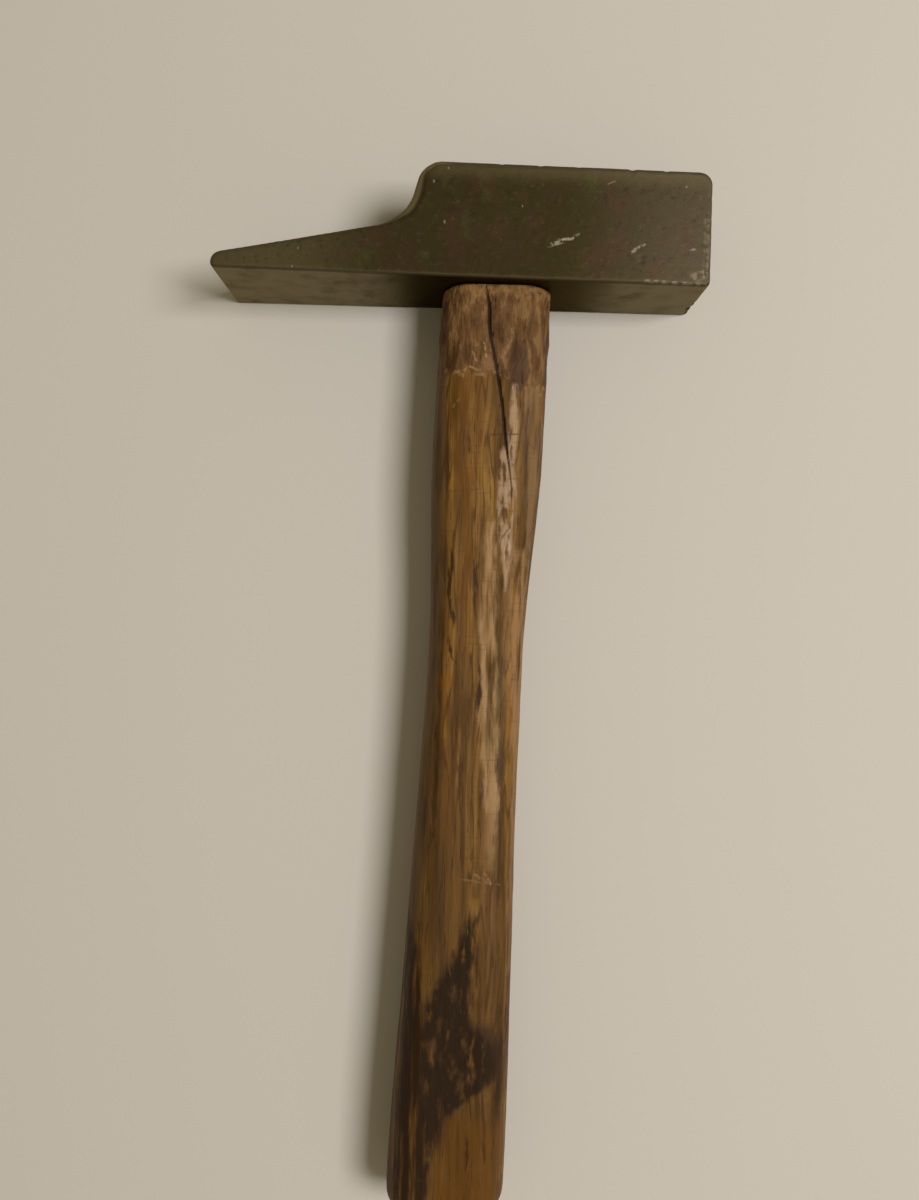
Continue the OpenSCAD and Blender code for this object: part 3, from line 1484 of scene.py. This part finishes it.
# The dirt in the split and where it runs out as a hairline
SPLIT_EDGE = (
    groove(SPLIT, 1.5, "1f0f05", 0.95, 0.5),
    groove(((3.2, -59), (4.5, -68), (5.3, -73), (5.6, -77), (5.8, -82)), 0.8, "2a1809", 0.85, 0.35),
)

# The dark streaks and knots, each with its line, its width, its colour and its strength
DARK_LINES = tuple(
    groove(*row)
    for row in (
        (((5.7, -77), (5.6, -84), (2.7, -91), (3.7, -106), (4.9, -125), (5.4, -152), (5.9, -196)),
         0.9, "3a2612", 0.75),
        (((-7.8, -56), (-7.3, -60), (-6.6, -64), (-4.8, -69)), 1.6, "3c2610", 0.75),
        (((-8.0, -73), (-7.9, -86), (-7.4, -98)), 0.9, "4a3014", 0.6),
        (((-11.6, -88), (-11.2, -97), (-11.6, -104), (-10.4, -112), (-10.8, -120), (-8.3, -128)),
         1.7, "301c08", 0.95),
        (((-5.0, -89), (-4.2, -99), (-3.6, -109), (-4.0, -116)), 1.8, "35200b", 0.9),
        (((-3.2, -119), (-1.9, -130), (-2.4, -136), (-1.6, -143)), 2.0, "2f1e0b", 0.9),
        (((-9.4, -133), (-8.6, -141), (-7.4, -149), (-6.4, -164), (-5.7, -182)), 1.3, "3a2510", 0.65),
        (((-14.4, -140), (-13.8, -158), (-14.2, -172), (-15.4, -188)), 1.8, "2e1b08", 0.7),
        (((-1.4, -154), (-0.8, -161), (-1.2, -170)), 1.8, "35230f", 0.7),
        (((6.8, -164), (6.4, -176), (7.4, -186)), 1.6, "47301a", 0.5),
        (((4.2, -196), (5.2, -208), (5.8, -220)), 1.4, "3a2612", 0.5),
        (((-3.2, -250), (-2.2, -262), (-2.8, -284)), 1.6, "2e1906", 0.85),
        (((2.4, -247), (3.0, -262), (2.6, -280)), 1.5, "351d07", 0.8),
        (((4.9, -249), (5.6, -262), (5.0, -284)), 1.3, "351d07", 0.7),
        (((-14.6, -276), (-14.4, -284)), 1.4, "1f1206", 0.7),
    )
)

# The dark stains near the butt, the largest last
STAINS = (
    Patch(((6.4, -218), (4.6, -226), (3.8, -236), (3.6, -246), (5.4, -258)),
          ((7.6, -218), (9.8, -226), (10.4, -236), (10.4, -246), (8.8, -258)), 3.5,
          "27160c", 0.9, 0.6),
    Patch(((-4.0, -228), (-5.0, -236), (-4.0, -246)),
          ((6.0, -228), (8.6, -236), (6.0, -249)), 3, "33200f", 0.9, 0.6),
    Patch(((-20.6, -216), (-21.4, -240), (-20.8, -274)),
          ((-19.8, -216), (-19.6, -240), (-20.0, -274)), 1.2, "221204", 0.75),
    Patch(((-17.6, -222), (-18.6, -236), (-17.8, -250)),
          ((-16.6, -222), (-16.8, -236), (-16.8, -250)), 1.2, "221204", 0.75),
    Patch(((-4.2, -192), (-6.4, -200), (-9.1, -210), (-13.6, -217), (-17.0, -226), (-18.4, -238),
           (-18.0, -250), (-17.2, -262), (-16.6, -277)),
          ((-2.6, -192), (0.4, -200), (0.6, -210), (-0.6, -217), (0.8, -228), (7.4, -238),
           (0.0, -249), (-8.0, -258), (-11.0, -277)), 3.4, "0d0701", 0.97, 0.7),
)

# The few pale and dark scrapes that run across the grain
CROSS_MARKS = (
    Mark((-2.6, -184.6), (1.6, -187.2), 0.8, 0.4, "a58465"),
    Mark((0.2, -183.6), (3.2, -188.2), 0.8, 0.4, "a58465"),
    Mark((-5.6, -186.4), (5.4, -188.0), 0.6, 0.4, "957450"),
    Mark((-1.2, -59.4), (7.6, -59.0), 0.5, 0.6, "3a2815"),
    Mark((8.0, -59.6), (12.4, -63.2), 0.5, 0.5, "4a3420"),
    Mark((-12.0, -52.0), (-10.2, -49.6), 0.5, 0.3, "a08a68"),
    Mark((-2.6, -37.6), (-3.6, -33.0), 0.6, 0.5, "a88a5e"),
    Mark((-9.2, -41.6), (-7.3, -40.2), 0.7, 0.4, "a88a5e"),
    Mark((-7.3, -40.2), (-5.0, -41.3), 0.7, 0.4, "a88a5e"),
    Mark((-6.8, -35.8), (-5.4, -38.8), 0.5, 0.5, "a88a5e"),
    Mark((-13.6, -76.0), (-3.4, -75.0), 0.4, 0.4, "4d3518"),
)

# The pale scratches and rubs on the cheek, and the dark one that runs through its two pits
SCRATCHES = (
    Mark((13.6, -6.6), (18.4, -5.0), 1.1, 0.5),
    Mark((16.6, -4.9), (21.4, -4.0), 1.0, 0.5),
    Mark((19.0, -4.2), (23.0, -2.8), 0.6, 0.25),
    Mark((35.7, -8.1), (38.4, -6.9), 0.8, 0.36),
    Mark((37.6, -6.9), (41.3, -4.9), 0.7, 0.36),
    Mark((29.6, 11.2), (32.2, 12.4), 0.4, 0.22),
    Mark((53.0, -6.2), (55.8, -5.9), 0.6, 0.34),
    Mark((58.6, 4.0), (58.8, -13.0), 2.2, 0.12),
    Mark((54.5, -14.0), (58.6, -12.8), 2.4, 0.24),
    Mark((41.0, -15.4), (58.8, -15.8), 0.9, 0.2),
    Mark((39.4, -7.6), (40.2, -9.8), 0.5, 0.8, "1d1a12"),
)

# Pale specks, each a mark so short that it comes out round
SPECKS = tuple(
    Mark((x, y), (x + 0.1, y), width, 0.75, "a89f8b")
    for x, y, width in (
        (-14.9, 14.0, 0.7), (-18.9, 10.1, 0.8), (-15.6, -1.1, 0.9), (6.1, 4.2, 0.6),
        (52.3, 11.6, 0.6), (-56.1, -10.1, 0.6), (-57.6, -15.2, 0.6),
    )
)


class OldHandleWood:
    """Oiled ash, split, worn by the hand and stained.

    The grain runs along the handle in broad stripes and dark figure lines. Golden and greyer bands,
    the rough neck, the worn strip, the dark lines and the stains are laid over it one by one.

    Attributes:
        low_x: the lowest X that a patch's line can have, in millimetres.
        high_x: the highest one.
    """

    low_x: float = -26.0
    high_x: float = 20.0

    def __init__(self, handle: Handle) -> None:
        """Starts the material.

        Args:
            handle: the handle that it is for.
        """
        self.crown = handle.head.crown
        self.coat = Coat("Ash_turned_oiled_and_worn", 0.55)
        # The patches' lines are curves over this range of Y, which starts just inside the head.
        self.top = 1 - self.crown
        self.butt = -self.crown - handle.length
        self.share = add_node(
            self.coat.tree,
            "MapRange",
            {"Value": self.coat.y, "From Min": self.top, "From Max": self.butt},
        )
        self.upper = self.coat.ramp(self.coat.z, 7.0, 12.0)

    def build(self) -> bpy.types.Material:
        """Lays on the wood's layers.

        Returns:
            The material.
        """
        coat = self.coat
        self._grain()
        # Patches run out along the fibres, so what frays them is four times as long as it is wide.
        loose = self._ragged((2.2, 9, 2.2), 5.0)
        close = self._ragged((1.4, 6, 1.4), 2.2)
        self._lay_all(GRAIN_PATCHES_WITH_PAINTED_FLANK_SHADING, loose, coat.ramp(coat.pattern((2.5, 22, 2.5)), 0.3, 0.55))
        self._rough_neck()
        self._lay_all(NECK_PATCHES, loose)
        self._lay_all(WORN_PATCHES, close, coat.ramp(coat.pattern((2, 7, 2)), 0.34, 0.52))
        self._cross_marks()
        self._lay_all(SPLIT_EDGE, coat.x)
        self._lay_all(DARK_LINES, close, coat.ramp(coat.pattern((1.5, 7, 1.5)), 0.34, 0.56))
        self._lay_all(STAINS, loose, coat.ramp(coat.pattern((2.6, 8, 2.6), 4), 0.7, 0.48))
        self._ends()
        # Dry oil mirrors little, so the wood keeps its colour where the lamp would grey it.
        return coat.finish(0.0, 0.9, 0.13)

    def _ragged(self, grain: Point, reach: float) -> bpy.types.Node:
        """Moves X to and fro by a pattern, for the edges of the patches.

        Args:
            grain: the size of the pattern's patches, in millimetres.
            reach: how far it moves in all, in millimetres.

        Returns:
            A node with the moved X.
        """
        tree, pattern = self.coat.tree, self.coat.pattern(grain)
        start = add_node(tree, "Math", {0: self.coat.x, 1: reach / 2}, operation="SUBTRACT")
        return add_node(tree, "Math", {0: pattern, 1: reach, 2: start}, operation="MULTIPLY_ADD")

    def _edge(self, run: tuple[Spot, ...]) -> bpy.types.Node:
        """Follows a line that runs along the handle.

        Args:
            run: X and Y of its points, in millimetres, from the head down.

        Returns:
            A node with the line's X at each Y.
        """
        long, wide = self.top - self.butt, self.high_x - self.low_x
        curve = add_node(self.coat.tree, "FloatCurve", {"Value": self.share})
        track = curve.mapping.curves[0]
        spots = [((self.top - y) / long, (x - self.low_x) / wide) for x, y in run]
        spots = [(0.0, spots[0][1]), *spots, (1.0, spots[-1][1])]
        while len(track.points) < len(spots):
            track.points.new(0.5, 0.5)
        for point, spot in zip(track.points, spots):
            point.location = spot
            point.handle_type = "AUTO_CLAMPED"
        curve.mapping.update()
        inputs = {0: curve, 1: wide, 2: self.low_x}
        return add_node(self.coat.tree, "Math", inputs, operation="MULTIPLY_ADD")

    def _mask(self, patch: Patch, ragged: object) -> object:
        """Masks where a patch lies.

        Args:
            patch: the patch.
            ragged: the X that its lines are compared with, in millimetres.

        Returns:
            The mask.
        """
        coat, tree = self.coat, self.coat.tree
        left, right = self._edge(patch.left), self._edge(patch.right)
        over = add_node(tree, "Math", {0: ragged, 1: left}, operation="SUBTRACT")
        under = add_node(tree, "Math", {0: right, 1: ragged}, operation="SUBTRACT")
        inside = add_node(tree, "Math", {0: over, 1: under}, operation="MINIMUM")
        top, end, fade = patch.left[0][1], patch.left[-1][1], 1.5 * patch.soft
        return coat.times(
            coat.ramp(inside, 0.0, patch.soft),
            coat.ramp(coat.y, top + fade / 2, top - fade / 2),
            coat.ramp(coat.y, end - fade / 2, end + fade / 2),
            self.upper,
        )

    def _lay_all(self, patches: tuple[Patch, ...], ragged: object, broken: object = None) -> None:
        """Lays patches one over another.

        Args:
            patches: the patches, from the lowest to the topmost.
            ragged: the X that their lines are compared with, in millimetres.
            broken: a mask that breaks them up, or None.
        """
        for patch in patches:
            mask = self.coat.times(self._mask(patch, ragged), patch.strength)
            if broken is not None:
                mask = self.coat.times(mask, broken)
            self.coat.lay(patch.colour, mask)
            if patch.roughness is not None:
                self.coat.polish(patch.roughness, mask)

    def _grain(self) -> None:
        """Draws the stripes, the figure lines and the pores along the handle.

        The side of a turned handle cuts the growth rings at a slant, which shows them as stripes 2 to
        5 mm wide and longer than the hand. Fibres and pores are under 0.3 mm wide, too fine for the
        render, so they are drawn 1.3 and 0.9 mm wide.
        """
        coat, tree = self.coat, self.coat.tree
        grain = coat.warped((14, 50, 14), (2.2, 0, 2.2))
        broad = coat.pattern((4.2, 110, 4.2), 2, grain)
        fibre = coat.pattern((1.3, 30, 1.3), 3, grain, 0.6)
        mixed = add_node(tree, "Math", {0: broad, 1: 0.72}, operation="MULTIPLY")
        mixed = add_node(tree, "Math", {0: fibre, 1: 0.28, 2: mixed}, operation="MULTIPLY_ADD")
        coat.shade(mixed, ((0.37, "3f290e"), (0.46, "5a3f18"), (0.54, "714f21"), (0.64, "8a672f")))
        figure = coat.pattern((2.6, 42, 2.6), 1, grain)
        away = add_node(tree, "Math", {0: figure, 1: 0.5}, operation="SUBTRACT")
        away = add_node(tree, "Math", {0: away}, operation="ABSOLUTE")
        coat.lay("38230c", coat.ramp(away, 0.045, 0.008), coat.ramp(broad, 0.38, 0.58, 0.7))
        pores = coat.pattern((0.9, 8, 0.9), 2, grain)
        coat.lay("38240e", coat.ramp(pores, 0.6, 0.72, 0.45))
        # Sweat and oil darken the wood unevenly over the width of a fingertip.
        coat.lay("3a230b", coat.ramp(coat.pattern((7, 18, 7)), 0.5, 0.32, 0.55))
        coat.raise_by(fibre, 0.12)
        coat.raise_by(coat.ramp(pores, 0.72, 0.56), 0.1)
        coat.raise_by(coat.pattern((3.5, 14, 3.5), 2), 0.35)

    def _rough_neck(self) -> None:
        """Roughens and darkens the wood below the head, with a frayed light rim and, right under the
        head, grime and the head's painted shadow.

        The torn fibres stand up in lumps 3 mm wide, which carry painted highlights and are darker
        between them. A painted highlight also runs along the ledge at the neck's lower edge.
        """
        coat, tree = self.coat, self.coat.tree
        waves, frays = coat.pattern((5, 8, 5), 2), coat.pattern((1.6, 3, 1.6))
        wavy = add_node(tree, "Math", {0: waves, 1: 9.0, 2: coat.y}, operation="MULTIPLY_ADD")
        lower = coat.ramp(coat.x, 0.0, 9.0, 4.0)
        wavy = add_node(tree, "Math", {0: wavy, 1: lower}, operation="ADD")
        neck = coat.ramp(wavy, -38.0, -36.0)
        step = (coat.ramp(wavy, -38.6, -37.6), coat.ramp(wavy, -36.2, -37.2), self.upper)
        lumps = coat.pattern((2.8, 7, 2.8))
        coat.lay("5e4226", neck, 0.8)
        # Darker where the lumps are low, with a painted highlight where they stand up
        coat.lay("3b2610", neck, coat.ramp(lumps, 0.52, 0.38, 0.62))
        coat.lay("8c6b44", neck, coat.ramp(lumps, 0.54, 0.64, 0.42))
        # A painted highlight along the ledge where the sunken neck meets the wood below it
        coat.lay("a08058", *step, coat.ramp(coat.even(3, 2), 0.48, 0.62, 0.5))
        fringe = add_node(tree, "Math", {0: frays, 1: 12.0, 2: coat.y}, operation="MULTIPLY_ADD")
        coat.lay("8c683c", coat.ramp(fringe, -15.2, -12.4, 0.6))
        # Right under the head the wood is darker, partly grime and partly the head's painted shadow
        coat.lay("2c1d0a", coat.ramp(fringe, -11.6, -10.0, 0.6))
        coat.polish(0.65, neck)
        coat.raise_by(coat.times(neck, lumps), 1.1)
        coat.raise_by(neck, -0.25)

    def _cross_marks(self) -> None:
        """Draws the scrapes that run across the grain, and faint ones all over."""
        coat = self.coat
        coat.draw(CROSS_MARKS, coat.ramp(coat.even(1.2, 2), 0.35, 0.55), self.upper)
        # Hair-fine in fact, and drawn 0.7 mm wide so that they show
        coat.lay("4f3a22", coat.ramp(coat.pattern((9, 0.7, 9), 1), 0.62, 0.72, 0.3))

    def _ends(self) -> None:
        """Darkens the lower grip, the butt's rim and the tenon's sawn end, which soak up dirt. The wood
        is also darker towards its underside.
        """
        coat, butt, top = self.coat, self.butt, self.crown
        # Sawn end grain shows the growth rings, 1 to 3 mm apart.
        rings = coat.pattern((1.2, 40, 3.0), 4)
        coat.lay("35200a", coat.ramp(coat.y, -120, -240, 0.4))
        coat.lay("2e1a08", coat.ramp(coat.y, butt + 5.0, butt + 1.0, 0.6))
        face = coat.ramp(coat.y, butt + 1.6, butt + 0.5)
        coat.lay("1d1006", face, coat.ramp(rings, 0.58, 0.44, 0.85))
        coat.polish(0.75, face)
        # Darker towards the underside
        coat.lay("3d2a14", coat.ramp(coat.z, 9.0, 2.0, 0.5))
        sawn = coat.ramp(coat.y, top - 1, top + 0.6)
        coat.lay("57402a", sawn)
        coat.lay("2c1e13", sawn, coat.ramp(rings, 0.56, 0.44, 0.9))
        coat.polish(0.7, sawn)


class ForgedSteel:
    """Forged carbon steel under an old oxide skin.

    It is dark and nearly dull, olive and brown with red patches, greyer towards the poll and the
    peen where use has thinned the skin, and pale where something has scratched it.
    """

    def __init__(self) -> None:
        """Starts the material."""
        self.coat = coat = Coat("Carbon_steel_forged_and_oxidised", 0.55)
        normal = add_node(coat.tree, "TexCoord").outputs["Normal"]
        facing = add_node(coat.tree, "SeparateXYZ", {0: normal}).outputs
        self.tilt, self.lie = facing["Z"], facing["Y"]
        self.side = add_node(coat.tree, "Math", {0: coat.x}, operation="ABSOLUTE")
        self.upper = coat.ramp(coat.z, 24.0, 27.0)

    def build(self) -> bpy.types.Material:
        """Lays on the skin, the wear and the scratches.

        Returns:
            The material.
        """
        coat = self.coat
        # Dirt and oxide cloud the skin over a second time, in spots about 2 mm wide.
        cloudy = coat.pattern((1.8, 1.8, 1.8), 4, roughness=0.7)
        self._skin(cloudy)
        self._underside_painted_light_and_shade()
        self._worn_edges()
        # The bright pits are 0.1 to 0.2 mm wide, too fine for the render, and are drawn 0.55 mm wide.
        coat.lay("8b8168", coat.ramp(coat.even(0.55, 2), 0.78, 0.86, 0.5))
        broken = coat.ramp(coat.even(1.4), 0.42, 0.58)
        coat.draw(SCRATCHES, broken, self.upper)
        coat.draw(SPECKS, self.upper)
        coat.raise_by(cloudy, 0.05)
        coat.raise_by(coat.even(0.7), 0.02)
        # What the skin mirrors is tinted like it, or the sky would grey the sides seen edge on.
        return coat.finish(0.85, 0.8, glance="d3c69c")

    def _skin(self, cloudy: object) -> None:
        """Lays the oxide skin, whose colours drift over a centimetre or two.

        Args:
            cloudy: the pattern of its finer spots.
        """
        coat = self.coat
        coat.shade(coat.even(16), ((0.34, "322b15"), (0.5, "322a16"), (0.66, "38291a")))
        coat.lay("4b4233", coat.ramp(coat.x, 14.0, 62.0, 0.85))
        coat.lay("50472f", coat.ramp(coat.x, -28.0, -66.0, 0.9))
        coat.lay("4a2e25", coat.ramp(coat.even(9, 2), 0.56, 0.72, 0.28))
        coat.lay("3c4420", coat.ramp(coat.pattern((7.1, 7.3, 7.7), 2), 0.58, 0.74, 0.35))
        coat.lay("221c10", coat.ramp(cloudy, 0.46, 0.28, 0.5))
        coat.lay("6f664e", coat.ramp(cloudy, 0.54, 0.84, 0.26))

    def _underside_painted_light_and_shade(self) -> None:
        """Paints light onto the side towards the handle at both ends, and paints shade near the handle.
        """
        coat = self.coat
        below = coat.ramp(self.lie, -0.5, -0.9)
        pale = coat.ramp(coat.even(7, 4), 0.05, 0.6, 0.8)
        # Painted fill light, in patches, on the side towards the handle at both ends
        coat.lay("8b816e", below, coat.ramp(self.side, 16.0, 42.0), pale)
        # Painted shade near the handle, on the side towards it and on the head's half nearest it
        coat.lay("2d1f00", below, coat.ramp(self.side, 36.0, 13.0, 0.8))
        coat.lay("2c2413", coat.ramp(self.side, 36.0, 8.0), coat.ramp(coat.y, -2.0, -14.0, 0.5))

    def _worn_edges(self) -> None:
        """Thins the skin along the crown and on every edge that is worn round.

        The worn steel is a paler grey-brown and a little duller. It is palest where it is steep or runs
        round the shoulder. Along the lower arris, which faces the handle's side, it is darkened with
        painted shade.
        """
        coat, tilt, lie = self.coat, self.tilt, self.lie
        crown = (coat.ramp(coat.y, 9.5, 16.2), self.upper, coat.ramp(coat.x, -26.0, -20.0))
        coat.lay("665b3f", *crown, 0.42)
        worn = coat.times(coat.ramp(tilt, 0.992, 0.955), coat.ramp(tilt, 0.02, 0.2))
        coat.lay("564c36", worn, 0.6)
        coat.lay("776b4a", worn, coat.ramp(coat.y, -3.0, 3.0), coat.ramp(coat.x, -12.0, -18.0), 0.7)
        # Painted shade along the lower arris, which keeps the lamp's highlight off it
        coat.lay("2b2415", worn, coat.ramp(lie, -0.2, -0.4, 0.35))
        steep = (coat.ramp(tilt, 0.85, 0.5), coat.ramp(tilt, 0.0, 0.1), coat.ramp(lie, -0.3, 0.0))
        coat.lay("7d7152", *steep, 0.65)
        coat.polish(0.66, worn)


@dataclass(frozen=True)
class SmallFinish:
    """One colour with patches of another.

    Attributes:
        name: the material's name.
        slot: the record's material slot.
        base: its sRGB hex colour.
        patch: the colour of the patches.
        grain: their size along X, Y and Z, in millimetres.
        rough: its roughness.
        metallic: 1 for bare metal and 0 for anything else.
    """

    name: str
    slot: str
    base: str
    patch: str
    grain: Point
    rough: float
    metallic: float

    def build(self) -> bpy.types.Material:
        """Lays on the colour and its patches.

        Returns:
            The material.
        """
        coat = Coat(self.name, self.rough, self.base)
        patches = coat.pattern(self.grain, 4)
        coat.lay(self.patch, coat.ramp(patches, 0.45, 0.62, 0.8))
        coat.raise_by(patches, 0.2)
        return coat.finish(self.metallic, 0.6)


class WedgeFinish(Enum):
    """The finishes of the small pieces in the eye."""

    # Sawn end grain soaks up dirt, which shows as dull dark streaks under a millimetre wide.
    WOOD = SmallFinish(
        "Beech_sawn_and_greyed", "wedge_wood", "6b543a", "33261a", (0.8, 30.0, 2.6), 0.75, 0.0
    )
    # Steel that is cut cold and beaten in stays grey, and rusts brown in spots of 1 to 2 mm.
    STEEL = SmallFinish(
        "Mild_steel_cut_and_beaten", "wedge_steel", "5b564c", "6a3d22", (1.6, 1.6, 1.6), 0.5, 0.8
    )


# Scene


@dataclass
class Studio:
    """The pale floor, the soft light and the camera.

    Lengths are in millimetres and angles in degrees.

    Attributes:
        eye: where the camera hangs.
        turn: how far the camera is turned about its view.
        lens: its focal length on a sensor 36 mm wide.
        floor_size: the floor's side.
        floor_drop: how far the floor lies under the hammer.
        floor_colour: its sRGB hex colour.
        lamp_place: where the lamp hangs.
        lamp_aim: what it faces.
        lamp_size: its side.
        lamp_watts: its power.
        lamp_colour: its linear red, green and blue.
        sky: the sRGB hex colour and strength of the light from all round.
        seen_sky: the same for what the camera and the mirroring surfaces see.
    """

    eye: Point = (-8.44, -106.70, 308.7)
    turn: float = 1.6
    lens: float = 29.7
    floor_size: float = 3000.0
    floor_drop: float = 0.05
    floor_colour: str = "beb9b1"
    lamp_place: Point = (780, -60, 1350)
    lamp_aim: Point = (-8, -110, 12)
    lamp_size: float = 540.0
    lamp_watts: float = 22.0
    lamp_colour: Point = (1.0, 0.985, 0.975)
    sky: tuple[str, float] = ("ecdcb2", 0.36)
    seen_sky: tuple[str, float] = ("b9b3a6", 1.0)

    def build(self) -> None:
        """Builds the studio."""
        self._floor()
        self._world()
        self._lamp()
        self._camera()

    def _floor(self) -> None:
        """Lays the plain pale floor, dull enough to show only the hammer's soft shadow."""
        deselect_all()
        size, place = self.floor_size * MM, metres(0, -120, -self.floor_drop)
        bpy.ops.mesh.primitive_plane_add(size=size, location=place)
        floor = settle(named("pale_floor"))
        floor.data.materials.append(Coat("Board_painted_matt", 0.85, self.floor_colour).finish(0.0))

    def _world(self) -> None:
        """Lights the scene evenly from all round, with a paler sky where it is seen."""
        world = bpy.data.worlds.new("soft_light")
        world.use_nodes = True
        bpy.context.scene.world = world
        tree = world.node_tree
        tree.nodes.clear()
        plain, pale = (
            add_node(tree, "Background", {"Color": linear(colour), "Strength": strength})
            for colour, strength in (self.sky, self.seen_sky)
        )
        rays = add_node(tree, "LightPath").outputs
        seen = rays["Is Camera Ray"]
        for ray in ("Is Glossy Ray", "Is Transmission Ray"):
            seen = add_node(tree, "Math", {0: seen, 1: rays[ray]}, operation="MAXIMUM")
        mixed = add_node(tree, "MixShader", {0: seen, 1: plain, 2: pale})
        add_node(tree, "OutputWorld", {"Surface": mixed})

    def _lamp(self) -> None:
        """Hangs the square soft lamp, which faces the hammer from the poll's side."""
        data = bpy.data.lights.new("key", "AREA")
        data.energy = self.lamp_watts
        data.size = self.lamp_size * MM
        data.color = self.lamp_colour
        lamp = bpy.data.objects.new("key", data)
        bpy.context.scene.collection.objects.link(lamp)
        lamp.location = metres(*self.lamp_place)
        aim = metres(*self.lamp_aim) - lamp.location
        lamp.rotation_euler = aim.to_track_quat("-Z", "Y").to_euler()

    def _camera(self) -> None:
        """Hangs the camera straight over the hammer."""
        data = bpy.data.cameras.new("camera")
        data.lens = self.lens
        data.sensor_width = 36
        data.clip_start = 0.01
        camera = bpy.data.objects.new("camera", data)
        bpy.context.scene.collection.objects.link(camera)
        camera.location = metres(*self.eye)
        camera.rotation_euler = (0, 0, math.radians(self.turn))
        bpy.context.scene.camera = camera


def main() -> None:
    """Builds the hammer and its studio."""
    logging.basicConfig(level=logging.INFO, format="%(message)s")
    for spare in [o for o in bpy.data.objects if o.name in ("Cube", "Camera", "Light")]:
        bpy.data.objects.remove(spare, do_unlink=True)
    bpy.context.scene.view_settings.view_transform = "Standard"
    Studio().build()
    head = Head()
    head.dress(head.build())
    handle, wedges = Handle(head=head), Wedges(head=head)
    wood = handle.build()
    handle.carve(wood, wedges)
    handle.dress(wood)
    wedges.dress(wedges.build())
    deselect_all()


if __name__ == "__main__":
    main()
